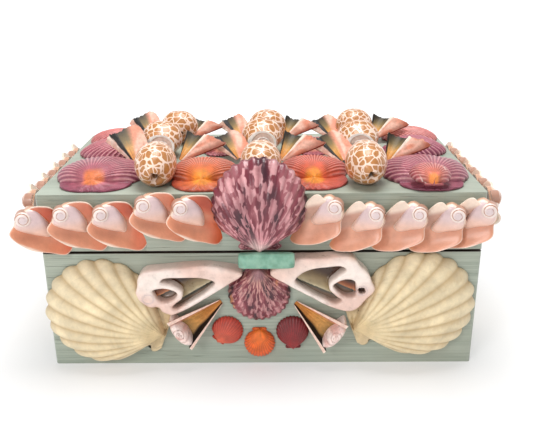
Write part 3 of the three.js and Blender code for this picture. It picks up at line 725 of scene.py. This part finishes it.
# ---- big sliced conchs ----------------------------------------------------------------------------
# Each cut face in its own plane: nose at the origin, spire end towards +X.
CONCHS = {
    "left": {
        "outline": [(0, 0), (20, 5.3), (38, 5), (54, 3.4), (66.5, 1.6), (70.5, -2.5), (71.5, -9),
                    (73, -15.5), (70.5, -20.5), (64, -24.6), (58, -25), (55.5, -28), (50, -30.6),
                    (43, -28.6), (27, -19.3), (10, -8)],
        "long": [(18.7, -6.4), (26.5, -3), (42, -2.4), (54, -3.6), (55.5, -6), (46.5, -8.8), (41.2, -12.7),
                 (41.6, -18), (46, -22), (48.6, -25), (46, -26.4), (36, -21), (24, -12.7)],
        "small": [(61.5, -12.4), (56.6, -10.8), (49.5, -11.4), (44.6, -14.4), (47, -18.7), (54, -21.4),
                  (58, -19.4)],
        "long_middle": (35, -9), "small_middle": (54, -16), "spire": (64.5, -18),
        "long_fold": (18, -5.5, -0.62), "small_fold": (46, -12.5, -0.5),
    },
    "right": {
        "outline": [(-1, -1), (11.4, 8.6), (29, 9.9), (48, 10.7), (55.5, 9.3), (59.3, 4.5), (62.8, 1.3),
                    (65.6, -2), (67.8, -8), (69.9, -13), (66, -18.6), (62.5, -22.6), (59.6, -26.4),
                    (53, -29.4), (46, -28), (35.5, -23.7), (24, -16.9), (10.4, -9)],
        "long": [(15.6, -6.4), (19.8, -1.2), (27, 2.3), (37.6, 3.8), (47, 4), (50, 1.6), (44, -3.6),
                 (39.2, -8), (39.2, -12.7), (43.4, -17.6), (47.6, -21), (44, -23.4), (35.5, -20.3),
                 (25, -14.3)],
        "small": [(41.6, -10.4), (45.4, -6.8), (52.3, -5.4), (56, -6.8), (57, -12), (56.6, -18),
                  (51.5, -18.8), (45.5, -15.4)],
        "long_middle": (33, -5), "small_middle": (50, -12), "spire": (60.9, -13.4),
        "long_fold": (16, -6.5, -0.47), "small_fold": (42, -9.5, -0.47),
    },
}
FACE_SPACING = 0.95      # distance between the points that fill a cut face
EDGE_ROUND = 1.9         # width of the softened border of a cut face


def loop_distance(points, ring):
    """Distance from each point to a closed ring of points."""
    a = ring[None]
    b = np.roll(ring, -1, 0)[None]
    p = points[:, None]
    share = np.clip(((p - a) * (b - a)).sum(-1) / ((b - a) ** 2).sum(-1), 0, 1)[..., None]
    return np.linalg.norm(p - (a + (b - a) * share), axis=-1).min(1)


def inside(points, ring):
    """Whether each point is inside a closed ring."""
    x, y = points[:, 0][:, None], points[:, 1][:, None]
    ax, ay = ring[:, 0][None], ring[:, 1][None]
    bx, by = np.roll(ring[:, 0], -1)[None], np.roll(ring[:, 1], -1)[None]
    crosses = ((ay > y) != (by > y)) & (x < (bx - ax) * (y - ay) / (by - ay + 1e-12) + ax)
    return crosses.sum(1) % 2 == 1


def cut_face(rings):
    """Fills the first ring, less the others, with triangles: points, faces and each ring point's index."""
    def solid(points):
        kept = inside(points, rings[0])
        for hole in rings[1:]:
            kept = kept & ~inside(points, hole)
        return kept

    gx, gy = np.meshgrid(np.arange(-2, 75, FACE_SPACING), np.arange(-30, 16, FACE_SPACING))
    gx = gx + (np.arange(gx.shape[0]) % 2)[:, None] * FACE_SPACING / 2
    filling = np.stack([gx.ravel(), gy.ravel()], -1)
    near = np.min([loop_distance(filling, ring) for ring in rings], 0)
    flat = np.concatenate([*rings, filling[solid(filling) & (near > 0.45)]])
    edges, start = [], 0
    for ring in rings:
        size = len(ring)
        edges += [(start + i, start + (i + 1) % size) for i in range(size)]
        start += size
    cells = delaunay_2d_cdt([Vector(p) for p in flat], edges, [], 1, 1e-6)
    points = np.array([tuple(p) for p in cells[0]])
    faces = np.array([tuple(f) for f in cells[2]])
    faces = faces[solid(points[faces].mean(1))]
    origin = np.array([source[0] if source else -1 for source in cells[3]])
    order = np.full(len(flat), -1)
    order[origin[origin >= 0]] = np.nonzero(origin >= 0)[0]
    return points, faces, order


def sliced_conch(half, depth, seed):
    """A slab cut lengthwise through a conch: rounded polished walls around two deep chambers."""
    cut = CONCHS[half]
    holes = [loop(cut["long"], 120), loop(cut["small"], 60)]
    rings = [loop(cut["outline"], 190), *holes]
    points, faces, order = cut_face(rings)
    edge = np.min([loop_distance(points, ring) for ring in rings], 0)
    drop = EDGE_ROUND * (1 - np.sqrt(1 - (1 - np.clip(edge / EDGE_ROUND, 0, 1)) ** 2)) * 0.7
    ridge = 0.5 * field(seed, 16, points[:, 0], points[:, 1])
    spire = np.hypot(points[:, 0] - cut["spire"][0], points[:, 1] - cut["spire"][1])
    suture = np.exp(-((spire - 3.6) / 0.5) ** 2)
    z = depth - 0.8 - drop + ridge * 0.6 - 0.5 * suture
    z = z - 0.25 * np.sin(points[:, 0] * 0.5 + points[:, 1] * 0.6) * step(44, 60, points[:, 0])
    stain = step(0.2, 1.3, field(seed + 1, 14, points[:, 0], points[:, 1]))
    blush = step(-0.5, 1.0, field(seed + 2, 22, *points.T))
    colours = blend(rgb(242, 226, 216), rgb(230, 196, 182), blush)
    colours = blend(colours, rgb(214, 170, 128), stain * step(6, 12, points[:, 1]) * 0.7)
    colours = blend(colours, rgb(196, 176, 176), suture * 0.7)
    if half == "right":
        # The spire's eye is a dent painted dark brown, as shade in the hole.
        colours = blend(colours, rgb(60, 34, 20), 1 - step(2.1, 2.7, spire))
        z = z - 3.5 * (1 - step(1.8, 2.6, spire))
    skin = Skin()
    grid = np.concatenate([points, z[:, None]], 1)
    marks = grid.copy()
    top = skin.add(grid, colours, marks)
    # The underside is painted 0.7 times darker, and the sawn walls darken down towards it: painted shade near
    # the board.
    low = skin.add(grid * (1, 1, 0), colours * 0.7, marks)
    skin.triangles.append(top[faces])
    skin.triangles.append(low[faces])
    start = 0
    for ring in rings:
        index = order[start:start + len(ring)]
        rows = [top[index]]
        for share in (0.3, 0.65):
            wall = grid[index] * (1, 1, 1 - share)
            rows.append(skin.add(wall, colours[index] * (1 - 0.3 * share), marks[index]))
        rows.append(low[index])
        skin.grid(np.stack(rows), wrap=True)
        start += len(ring)
    skin.take(chamber(holes[0], cut["long_middle"], cut["long_fold"], depth, seed, deep=False))
    skin.take(chamber(holes[1], cut["small_middle"], cut["small_fold"], depth, seed, deep=True))
    return skin


# Colours of a chamber's walls by their distance in millimetres from the fold; olive darkening into painted
# shadow, grey as painted shade.
OLIVE_GLAZE_TO_SHADOW = [(0, rgb(196, 182, 148)), (2.5, rgb(158, 140, 104)), (8, rgb(112, 88, 52)),
               (12, rgb(64, 38, 20))]
BROWN_GLAZE = [(0, rgb(196, 130, 84)), (2, rgb(150, 78, 34)), (5, rgb(70, 38, 22)), (9, rgb(40, 24, 18))]
GREY_SHADE_AND_WALL = [(0, rgb(84, 88, 80)), (2.2, rgb(104, 104, 94)), (3.2, rgb(142, 120, 104)),
              (8, rgb(120, 98, 86))]


def chamber(ring, middle, fold, depth, seed, deep):
    """The glossy inside of one whorl, seen through its hole: two walls that meet along a fold, with painted
    shadow under the upper edge and painted shade below the fold.
    """
    grown = np.array(middle) + (ring - middle) * 1.02
    fold_x, fold_y, slope = fold

    def above(x, y):
        return np.asarray(y) - (fold_y + slope * (np.asarray(x) - fold_x))

    def floor(x, y, s):
        rise = above(x, y)
        wall = np.where(rise > 0, 5.5 - 0.3 * rise, 1.0 + 0.25 * np.abs(rise))
        return np.clip(wall + 1.5 * np.asarray(s) ** 8, 0.6, depth - 3)

    def paint(x, y, s, side):
        rise = above(x, y) + 0.25 * field(seed + 4, 5, x, y)
        streak = field(seed + 6, 2.2, x * 0.25 + y, x * 0.1)
        upper = ramp(rise, *(BROWN_GLAZE if deep else OLIVE_GLAZE_TO_SHADOW))
        if not deep:
            spire_side = step(middle[0] + 4, middle[0] + 17, x + 0.4 * y)
            upper = blend(upper, rgb(92, 48, 22), spire_side * 0.85)
        upper = upper * (1 + 0.1 * streak[..., None])
        # Below the fold: painted shade grey, where shaded wood would show, then the lower wall's taupe.
        return blend(ramp(-rise, *GREY_SHADE_AND_WALL), upper, step(-0.15, 0.15, rise))

    return plate(grown, middle, 26, floor, level(0.2), paint)


# ---- materials ------------------------------------------------------------------------------------
class Look:
    """Builds the nodes of one material."""

    def __init__(self, name, roughness, **sockets):
        self.material = bpy.data.materials.new(name)
        self.material.use_nodes = True
        self.tree = self.material.node_tree
        self.shader = self.tree.nodes["Principled BSDF"]
        self.shader.inputs["Roughness"].default_value = roughness
        for socket, value in sockets.items():
            self.shader.inputs[socket.replace("_", " ")].default_value = value

    def node(self, kind, inputs=None, **settings):
        node = self.tree.nodes.new(kind)
        for key, value in settings.items():
            setattr(node, key, value)
        for socket, value in (inputs or {}).items():
            if hasattr(value, "is_output"):
                self.tree.links.new(value, node.inputs[socket])
            else:
                node.inputs[socket].default_value = value
        return node

    def attribute(self, name, output="Vector"):
        return self.node("ShaderNodeAttribute", attribute_name=name).outputs[output]

    def place(self):
        return self.node("ShaderNodeTexCoord").outputs["Object"]

    def scaled(self, vector, x, y, z):
        node = self.node("ShaderNodeVectorMath", {0: vector, 1: (x, y, z)}, operation="MULTIPLY")
        return node.outputs[0]

    def noise(self, vector, scale, detail=4.0, roughness=0.55, distortion=0.0):
        inputs = {"Vector": vector, "Scale": scale, "Detail": detail}
        inputs.update({"Roughness": roughness, "Distortion": distortion})
        return self.node("ShaderNodeTexNoise", inputs).outputs["Fac"]

    def math(self, operation, a, b=0.0, clamp=False):
        return self.node("ShaderNodeMath", {0: a, 1: b}, operation=operation, use_clamp=clamp).outputs[0]

    def spread(self, value, low, high, to_low=0.0, to_high=1.0):
        inputs = {"Value": value, "From Min": low, "From Max": high, "To Min": to_low, "To Max": to_high}
        return self.node("ShaderNodeMapRange", inputs, interpolation_type="SMOOTHSTEP").outputs["Result"]

    def mix(self, share, a, b, mode="MIX"):
        inputs = {0: share, 6: full(a), 7: full(b)}
        return self.node("ShaderNodeMix", inputs, data_type="RGBA", blend_type=mode).outputs[2]

    def colour(self, value):
        self.tree.links.new(value, self.shader.inputs["Base Color"])

    def rough(self, value):
        self.tree.links.new(value, self.shader.inputs["Roughness"])

    def bump(self, *layers):
        """Adds up (height, metres) layers into one normal."""
        normal = None
        for height, distance in layers:
            inputs = {"Height": height, "Distance": distance, "Strength": 1.0}
            if normal is not None:
                inputs["Normal"] = normal
            normal = self.node("ShaderNodeBump", inputs).outputs["Normal"]
        self.tree.links.new(normal, self.shader.inputs["Normal"])


def full(colour):
    """A colour with its alpha, or a socket as it is."""
    return colour if hasattr(colour, "is_output") else (*colour, 1.0)


def grey(value):
    return np.full(3, float(value))


SEAM_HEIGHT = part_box("lid")[0][2] - 0.00065     # the middle of the gap under the lid, in metres


def painted_wood():
    """Sage paint brushed along the boards, over open grain, with dark brown painted as shade in the gap where
    the lid meets the body.
    """
    look = Look("painted wood", 0.5, Coat_Weight=0.12, Coat_Roughness=0.35)
    place = look.place()
    strokes = look.noise(look.scaled(place, 14, 90, 900), 1.0, 5.0, 0.6, 0.25)
    grain = look.noise(look.scaled(place, 7, 60, 420), 1.0, 3.0, 0.7, 0.6)
    cloud = look.noise(place, 22, 3.0)
    base = look.mix(look.spread(strokes, 0.3, 0.7), rgb(144, 154, 140), rgb(170, 178, 164))
    base = look.mix(look.spread(cloud, 0.35, 0.7, 0, 0.5), base, rgb(156, 158, 142))
    groove = look.spread(grain, 0.36, 0.30, 0, 0.7)
    height = look.node("ShaderNodeSeparateXYZ", {0: place}).outputs[2]
    off_seam = look.math("ABSOLUTE", look.math("SUBTRACT", height, SEAM_HEIGHT))
    # seam_shade: a dark brown band around the gap under the lid, spilling just onto the outer faces, is
    # painted shade in the gap.
    seam_shade = look.spread(off_seam, 0.0009, 0.0011, 1.0, 0.0)
    look.colour(look.mix(seam_shade, look.mix(groove, base, rgb(112, 122, 108)), rgb(44, 29, 15)))
    look.rough(look.spread(strokes, 0.3, 0.7, 0.42, 0.6))
    look.bump((strokes, 0.00025), (look.spread(grain, 0.3, 0.4), 0.0003))
    return look.material


def sea_glass():
    look = Look("sea glass", 0.5, Subsurface_Weight=0.2, Subsurface_Scale=0.004, IOR=1.5)
    place = look.place()
    cloud = look.noise(place, 120, 3.0)
    look.colour(look.mix(look.spread(cloud, 0.3, 0.7), rgb(100, 146, 124), rgb(140, 182, 160)))
    look.bump((look.noise(place, 1800, 2.0), 0.00006))
    return look.material


def shell(name, roughness, mottle=0.12, size=260, lines=0.0, **sockets):
    """A glazed shell: its painted colour, mottled, with fine growth lines across the ribs."""
    look = Look(name, roughness, **sockets)
    place = look.place()
    cloud = look.noise(place, size, 5.0, 0.65)
    tone = look.spread(cloud, 0.25, 0.75, 1 - mottle * 1.6, 1 + mottle)
    paint = look.attribute("paint", "Color")
    tones = look.node("ShaderNodeCombineColor", {0: tone, 1: tone, 2: tone}).outputs[0]
    tinted = look.mix(1.0, paint, tones, "MULTIPLY")
    look.rough(look.spread(cloud, 0.2, 0.8, roughness * 0.8, min(1.0, roughness * 1.3)))
    layers = [(look.noise(place, size * 6, 2.0), 0.00008)]
    if lines:
        mark = look.attribute("mark")
        growth = look.noise(look.scaled(mark, 0.25, 46, 0), 1.0, 3.0, 0.6, 0.3)
        tinted = look.mix(look.spread(growth, 0.42, 0.3, 0, lines), tinted, grey(0.02))
        layers.append((growth, 0.0003))
    look.colour(tinted)
    look.bump(*layers)
    return look, tinted


def cream_scallop():
    look, tinted = shell("cream scallop", 0.55, 0.08, 180, 0.06)
    stain = look.noise(look.place(), 60, 5.0, 0.7)
    look.colour(look.mix(look.spread(stain, 0.52, 0.72, 0, 0.45), tinted, rgb(206, 176, 128)))
    return look.material


def calico_scallop():
    """Maroon flecks that run down single ribs, on pinkish white."""
    look, tinted = shell("calico scallop", 0.34, 0.1, 300, 0.04, Coat_Weight=0.25, Coat_Roughness=0.2)
    mark = look.attribute("mark")
    parts = look.node("ShaderNodeSeparateXYZ", {0: mark})
    fleck = look.noise(look.scaled(mark, 1.1, 6.5, 0), 1.0, 2.0, 0.5, 0.25)
    wide = look.noise(look.scaled(mark, 0.3, 1.6, 0), 1.0, 2.0)
    mask = look.math("ADD", look.spread(fleck, 0.46, 0.52), look.spread(wide, 0.38, 0.58, -0.3, 0.4), True)
    mask = look.math("MULTIPLY", mask, look.spread(parts.outputs[1], 0.06, 0.35, 0.35, 1.0))
    dark = look.mix(look.spread(wide, 0.4, 0.65), rgb(128, 46, 60), rgb(58, 14, 30))
    look.colour(look.mix(mask, tinted, dark))
    return look.material


def netted_snail():
    """Tan cells inside a white net; sawn faces and the mouth's painted shade have no net."""
    look, tinted = shell("netted snail", 0.3, 0.1, 320, 0.0, Coat_Weight=0.35, Coat_Roughness=0.15)
    mark = look.attribute("mark")
    warp = look.noise(mark, 0.16, 2.0)
    drift = look.node("ShaderNodeTexNoise", {"Vector": mark, "Scale": 0.14, "Detail": 1.0}).outputs["Color"]
    inputs = {0: mark, 1: look.scaled(drift, 5, 5, 5)}
    moved = look.node("ShaderNodeVectorMath", inputs, operation="ADD").outputs[0]
    cells = {"Vector": moved, "Scale": 0.19, "Randomness": 0.8}
    net = look.node("ShaderNodeTexVoronoi", cells, feature="DISTANCE_TO_EDGE").outputs["Distance"]
    centre = look.node("ShaderNodeTexVoronoi", cells, feature="F1").outputs["Distance"]
    net = look.math("SUBTRACT", net, look.math("MULTIPLY", look.math("SUBTRACT", centre, 0.45), 0.15))
    line = look.spread(net, 0.045, 0.08, 1.0, 0.0)
    whole = look.spread(look.node("ShaderNodeSeparateXYZ", {0: mark}).outputs[0], -400, -399)
    # dark: the mouth's painted shade, where the net is left out.
    dark = look.spread(look.node("ShaderNodeSeparateColor", {0: tinted}).outputs[0], 0.08, 0.2)
    line = look.math("MULTIPLY", look.math("MULTIPLY", line, whole), dark)
    shade = look.mix(look.spread(warp, 0.35, 0.65, 0, 0.5), tinted, rgb(166, 106, 52))
    shade = look.mix(whole, tinted, shade)
    look.colour(look.mix(line, shade, rgb(236, 208, 190)))
    return look.material


# ---- boards -----------------------------------------------------------------------------------------
lid_low, lid_high = (np.array(corner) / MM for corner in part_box("lid"))
FRONT = board((0, lid_low[1], 0), 90, 0)
RIGHT = board((lid_high[0], 0, 0), 90, 90)
LEFT = board((lid_low[0], 0, 0), 90, -90)
TOP = board((0, 0, lid_high[2]), 0, 0)

WOOD = painted_wood()
GLASS = sea_glass()
CREAM = cream_scallop()
CALICO = calico_scallop()
NETTED = netted_snail()
HORN = shell("sawn cone", 0.45, 0.14, 420, 0.0, Specular_IOR_Level=0.25)[0].material
PEACHY = shell("peach conch", 0.34, 0.07, 140, 0.0, Coat_Weight=0.3, Coat_Roughness=0.2)[0].material
CONCH = shell("sliced conch", 0.3, 0.08, 160, 0.0, Coat_Weight=0.35, Coat_Roughness=0.15)[0].material
GLAZED = {
    kind: shell(f"{kind} scallop", 0.42, 0.13, 240, 0.12, Coat_Weight=0.2, Coat_Roughness=0.25)[0].material
    for kind in ("salmon", "orange", "wine", "purple", "rose")
}

for name in ("body", "lid"):
    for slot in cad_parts[name].material_slots:
        slot.material = WOOD

# ---- body front -----------------------------------------------------------------------------------
# Tones: umbo, middle, rim, and the valley colour, which is painted shade between the ribs.
CREAM_TONES = [rgb(214, 190, 146), rgb(226, 206, 166), rgb(232, 214, 178), rgb(176, 142, 92)]
OLIVE_TONES = [rgb(226, 205, 168), rgb(236, 220, 184), rgb(206, 186, 96), rgb(176, 150, 78)]
for name, height, depth, x, y, heading, seed in (
        ("white_scallop_left", 85, 17.5, -69, 28, 161, 11),
        ("white_scallop_right", 86, 18, 64, 32, 19, 12)):
    paint = scallop_paint(*CREAM_TONES, seed, 0.3)
    skin = valve(78, height, depth, 13, len(name), paint, relief=1.5, rows=46, per_rib=9, ruffle=0.4,
                 ridge=0.5)
    make(name, skin, seat(FRONT, x, y, heading), CREAM)
for name, where, tones, seed in (("side_scallop_left", LEFT, CREAM_TONES, 13),
                                 ("side_scallop_right", RIGHT, OLIVE_TONES, 14)):
    paint = scallop_paint(*tones, seed, 0.3)
    skin = valve(78, 76, 14, 16, len(name), paint, relief=1.6, rows=40, per_rib=7, ruffle=0.5)
    make(name, skin, seat(where, 0, 6), CREAM)

for half, x, y, seed in (("left", -13, 76, 21), ("right", 7, 77, 22)):
    skin = sliced_conch(half, 13, seed)
    if half == "left":
        skin = skin.mirrored()
    make(f"sliced_conch_{half}", skin, seat(FRONT, x, y), CONCH, crease=50)

for half, x, y, heading, seed in (("left", -24, 54, 217, 31), ("right", 19, 53, 320, 32)):
    skin = wedge("trough", 1, seed).take(whorl_cap(seed))
    if half == "right":
        skin = skin.mirrored()
    make(f"front_trough_{half}", skin, seat(FRONT, x, y, heading), HORN, crease=35)

# Tones: umbo, middle, rim, and the valley colour, which is painted shade between the ribs.
MAUVE_TONES = [rgb(176, 128, 132), rgb(206, 150, 138), rgb(196, 136, 140), rgb(124, 58, 72)]
CALICO_TONES = [rgb(224, 190, 186), rgb(206, 140, 146), rgb(206, 150, 152), rgb(136, 58, 68)]
paint = scallop_paint(*MAUVE_TONES, 44, 0.4, pale=rgb(222, 150, 84))
skin = valve(43, 42, 11, 20, 42, paint, relief=0.7, rows=34, per_rib=6, ruffle=0.3)
make("front_calico_scallop", skin, seat(FRONT, -2, 78, 270), CALICO)
paint = scallop_paint(*CALICO_TONES, 41, 0.35)
skin = valve(63, 63, 18, 20, 43, paint, relief=1.0, rows=46, per_rib=7, ruffle=0.4, thickness=2.0)
make("big_calico_scallop", skin, seat(FRONT, -1, 92, 90, out=3), CALICO)

SMALL = [
    ("small_scallop_left", "salmon", 22, 22, -32, 19, 50, rgb(214, 96, 66), rgb(176, 58, 42)),
    ("small_scallop_centre", "orange", 22, 23, -2, 29, 270, rgb(238, 116, 28), rgb(214, 84, 20)),
    ("small_scallop_right", "wine", 23, 25, 22, 13, 92, rgb(150, 34, 34), rgb(112, 18, 24)),
]
for name, kind, width, height, x, y, heading, light, deep in SMALL:
    # deep * 0.7 is the valley colour: painted shade between the ribs.
    paint = scallop_paint(light, light, deep * 1.2, deep * 0.7, len(name), 0.4)
    skin = valve(width, height, 6, 20, len(name), paint, relief=0.45, rows=26, per_rib=5, ruffle=0.2)
    make(name, skin, seat(FRONT, x, y, heading), GLAZED[kind])


def glass_tab(width, height, thickness):
    """A bar of beach glass with worn edges."""
    corner = [(-0.5, -0.36), (-0.485, -0.46), (-0.44, -0.5), (0.44, -0.5), (0.485, -0.46), (0.5, -0.36),
              (0.5, 0.36), (0.485, 0.46), (0.44, 0.5), (-0.44, 0.5), (-0.485, 0.46), (-0.5, 0.36)]
    outline = loop([(x * width, y * height) for x, y in corner], 96)

    def rounding(s):
        return 1 - np.sqrt(np.maximum(1 - np.asarray(s) ** 7, 0))

    def front(x, y, s):
        return thickness - 1.4 * rounding(s) + 0.15 * field(9, 12, x, y)

    def back(x, y, s):
        return 1.2 * rounding(s)

    def paint(x, y, s, side):
        return np.broadcast_to(grey(0.5), (*x.shape, 3))

    return plate(outline, (0, 0), 18, front, back, paint)


make("sea_glass_tab", glass_tab(37, 10.5, 5), seat(FRONT, 3.5, 88, out=13), GLASS,
     ending="piece")

# ---- lid front and sides -----------------------------------------------------------------------------
# Each slice: [x, y, how orange it is].
SLICE_ROWS = {
    "left": [(-54, 124, 1.0), (-78, 126, 0.3), (-106, 120, 0.75), (-132, 120, 0.4), (-157, 117, 0.8)],
    "right": [(50, 124, 0.15), (77, 119, 0.25), (105, 119, 0.3), (130, 118, 0.2), (150, 121, 0.25)],
}
for row, roll, seed in (("left", 14, 50), ("right", -14, 60)):
    for i, (x, y, warmth) in enumerate(SLICE_ROWS[row]):
        make(f"lid_slice_{row}_{i + 1}", conch_slice(row, warmth, seed + i),
             seat(FRONT, x, y, roll=roll, out=5), PEACHY, crease=60)

SIDE_COUNT = 5
SIDE_PITCH = 28
for side, where, x, row, lean in (("left", LEFT, 8, "right", -3), ("right", RIGHT, -8, "left", 3)):
    slices = Skin()
    for i in range(SIDE_COUNT):
        at = turn("Y", lean)
        at[:3, 3] = ((i - (SIDE_COUNT - 1) / 2) * SIDE_PITCH, 0, 4)
        slices.take(conch_slice(row, 0.25, 70 + i), at)
    make(f"lid_side_row_{side}", slices, seat(where, x, 119), PEACHY, crease=60,
         ending="shells")

# ---- lid top --------------------------------------------------------------------------------------------
WINE = rgb(104, 38, 62)
BRICK = rgb(150, 54, 36)
MAUVE = [rgb(170, 90, 102), rgb(150, 74, 94), WINE]
ORANGE = rgb(232, 140, 44)
APRICOT = rgb(222, 120, 66)
BLUSH = rgb(226, 150, 130)
# Each scallop: slot colour, width, height, depth, x, y, heading, and colours from umbo to the valleys'
# painted shade.
TOP_SCALLOPS = {
    "purple_left": ("purple", 62, 62, 15, -114, -72, 90, [rgb(216, 116, 62), *MAUVE]),
    "orange_left": ("orange", 52, 60, 15, -40, -73, 92, [ORANGE, rgb(216, 112, 54), rgb(190, 84, 58), BRICK]),
    "orange_right": ("orange", 50, 62, 15, 36, -71, 88, [ORANGE, rgb(212, 96, 62), rgb(190, 80, 70), BRICK]),
    "purple_right": ("purple", 62, 64, 15, 116, -74, 90, [MAUVE[0], *MAUVE]),
    "rose_left": ("rose", 44, 46, 13, -99, 20, 176, [APRICOT, rgb(190, 92, 96), rgb(160, 70, 90), WINE]),
    "rose_right": ("rose", 44, 46, 13, 101, 22, 4, [APRICOT, rgb(178, 84, 100), rgb(150, 64, 92), WINE]),
    "pink_left": ("rose", 34, 36, 12, -34, 12, 95, [BLUSH, rgb(206, 120, 120), rgb(196, 110, 120), WINE]),
    "pink_right": ("rose", 34, 36, 12, 40, 12, 85, [BLUSH, rgb(206, 110, 116), rgb(190, 96, 112), WINE]),
    "salmon_left": ("salmon", 38, 42, 12, -104, 63, 184,
                    [rgb(226, 130, 80), rgb(206, 100, 84), rgb(186, 84, 84), WINE]),
    "salmon_right": ("salmon", 38, 42, 12, 106, 64, -4,
                     [rgb(226, 150, 110), rgb(208, 120, 104), rgb(196, 104, 100), WINE]),
}
for i, (name, scallop) in enumerate(TOP_SCALLOPS.items()):
    kind, width, height, depth, x, y, heading, colours = scallop
    # light: strength of the painted highlights on the ridges.
    paint = scallop_paint(*colours, 80 + i, 0.4, light=0.45)
    skin = valve(width, height, depth - 2.5, 26, 80 + i, paint, relief=0.9, rows=38, per_rib=6,
                 ruffle=0.9, apron=0.1)
    make(f"top_{name}", skin, seat(TOP, x, y, heading), GLAZED[kind])
paint = scallop_paint(rgb(236, 140, 60), rgb(206, 110, 84), rgb(170, 80, 92), rgb(140, 60, 60), 95, 0.4,
                      pale=rgb(250, 240, 226), light=0.5)
skin = valve(27, 28, 8, 18, 95, paint, relief=0.7, rows=28, per_rib=6, ruffle=0.5)
make("top_small_orange", skin, seat(TOP, 113, -86, 88, lift=10, out=6), GLAZED["orange"])

# Each kind of snail: width, length, height, whether it is whole, lift in degrees, distance out, places.
SNAILS = {
    "front": (28.5, 54, 28.5, True, 0, 0.3, [(-72, -82), (0, -80), (72, -82)]),
    "middle": (32, 36, 26, False, -2, 2, [(-78, -2), (0, 8), (75, -2)]),
    "back": (31, 36, 26, True, 0, 0.3, [(-70, 42), (4, 44), (77, 44)]),
}
for kind, (width, length, height, whole, lift, out, places) in SNAILS.items():
    for i, (x, y) in enumerate(places):
        skin = snail(width, length, height, 100 + 10 * i + len(kind), whole)
        place = seat(TOP, x, y, lift=lift, out=out)
        make(f"snail_{kind}_{i + 1}", skin, place, NETTED, crease=50)

# Wedges lean up and away from the snails. Each one: x and y of its apex, scale, degrees up.
WEDGES_LEFT = [(-92, -24, 1, 38), (-16, -14, 0.9, 29), (62, -23, 0.95, 29),
               (-91, 48, 0.85, 38), (-16, 48, 0.8, 34), (62, 42, 0.88, 30)]
WEDGES_RIGHT = [(-63, -18, 1, 27), (12, -20, 1, 27), (90, -28, 1, 27),
                (-64, 48, 0.85, 27), (15, 46, 0.9, 27), (89, 44, 0.95, 27)]
for side, kind, heading, row in (("left", "fan", 97, WEDGES_LEFT), ("right", "scoop", 54, WEDGES_RIGHT)):
    for i, (x, y, scale, lean) in enumerate(row):
        skin = wedge(kind, scale, 120 + 10 * i + len(kind))
        place = seat(TOP, x, y, heading, lean, out=2)
        make(f"top_trough_{side}_{i + 1}", skin, place, HORN, crease=40)


# ---- stage, light and camera ---------------------------------------------------------------------------
def floor():
    """A white sheet that glows more and more away from the box, like a lit studio sweep."""
    bpy.ops.mesh.primitive_plane_add(size=60)
    sheet = bpy.context.object
    sheet.name = "floor"
    look = Look("floor", 0.9, Specular_IOR_Level=0.1, Emission_Color=(1, 1, 1, 1))
    haze = look.noise(look.place(), 3.0)
    look.colour(look.mix(look.spread(haze, 0.3, 0.7), grey(0.52), grey(0.55)))
    distance = look.node("ShaderNodeVectorMath", {0: look.place()}, operation="LENGTH").outputs["Value"]
    look.tree.links.new(look.spread(distance, 0.18, 1.2, 0.36, 0.85), look.shader.inputs["Emission Strength"])
    sheet.data.materials.append(look.material)


def sky():
    """White near the horizon, like the walls of a studio, and dimmer overhead."""
    world = bpy.data.worlds.new("studio")
    bpy.context.scene.world = world
    world.use_nodes = True
    nodes, links = world.node_tree.nodes, world.node_tree.links
    parts = nodes.new("ShaderNodeSeparateXYZ")
    links.new(nodes.new("ShaderNodeTexCoord").outputs["Generated"], parts.inputs[0])
    fade = nodes.new("ShaderNodeMapRange")
    for socket, value in (("From Min", 0.25), ("From Max", 0.5), ("To Min", 1.02), ("To Max", 0.45)):
        fade.inputs[socket].default_value = value
    links.new(parts.outputs[2], fade.inputs["Value"])
    links.new(fade.outputs[0], nodes["Background"].inputs["Strength"])
    nodes["Background"].inputs["Color"].default_value = (1, 1, 1, 1)


def softbox(name, place, aim, size, watts):
    """A round studio lamp."""
    light = bpy.data.lights.new(name, "AREA")
    light.shape = "DISK"
    light.size = size
    light.energy = watts
    lamp = bpy.data.objects.new(name, light)
    lamp.location = place
    lamp.rotation_euler = (Vector(aim) - Vector(place)).to_track_quat("-Z", "Y").to_euler()
    bpy.context.scene.collection.objects.link(lamp)


CAMERA_PLACE = (0.00685, -0.5159, 0.2752)
CAMERA_LENS = 46.7                        # millimetres, on a 36 mm sensor
CAMERA_ANGLES = (20.58, -0.42, -0.516)    # degrees of pitch down, yaw and tip


def camera():
    """The view from a little above, nearly square to the front."""
    pitch, yaw, tip = (math.radians(angle) for angle in CAMERA_ANGLES)
    ahead = Vector((math.sin(yaw) * math.cos(pitch), math.cos(yaw) * math.cos(pitch), -math.sin(pitch)))
    right = Vector((math.cos(yaw), -math.sin(yaw), 0))
    up = right.cross(ahead)
    side = right * math.cos(tip) + up * math.sin(tip)
    top = up * math.cos(tip) - right * math.sin(tip)
    data = bpy.data.cameras.new("camera")
    data.sensor_width = 36
    data.lens = CAMERA_LENS
    data.clip_start = 0.01
    eye = bpy.data.objects.new("camera", data)
    turned = Matrix((side, top, -ahead)).transposed().to_4x4()
    eye.matrix_world = Matrix.Translation(CAMERA_PLACE) @ turned
    bpy.context.scene.collection.objects.link(eye)
    bpy.context.scene.camera = eye


floor()
softbox("overhead", (0.05, 0.1, 1.3), (0, 0, 0), 0.8, 15)
softbox("key", (-0.7, -1.1, 0.8), (0, 0, 0.08), 0.45, 6)
sky()
bpy.context.scene.view_settings.view_transform = "Standard"
camera()
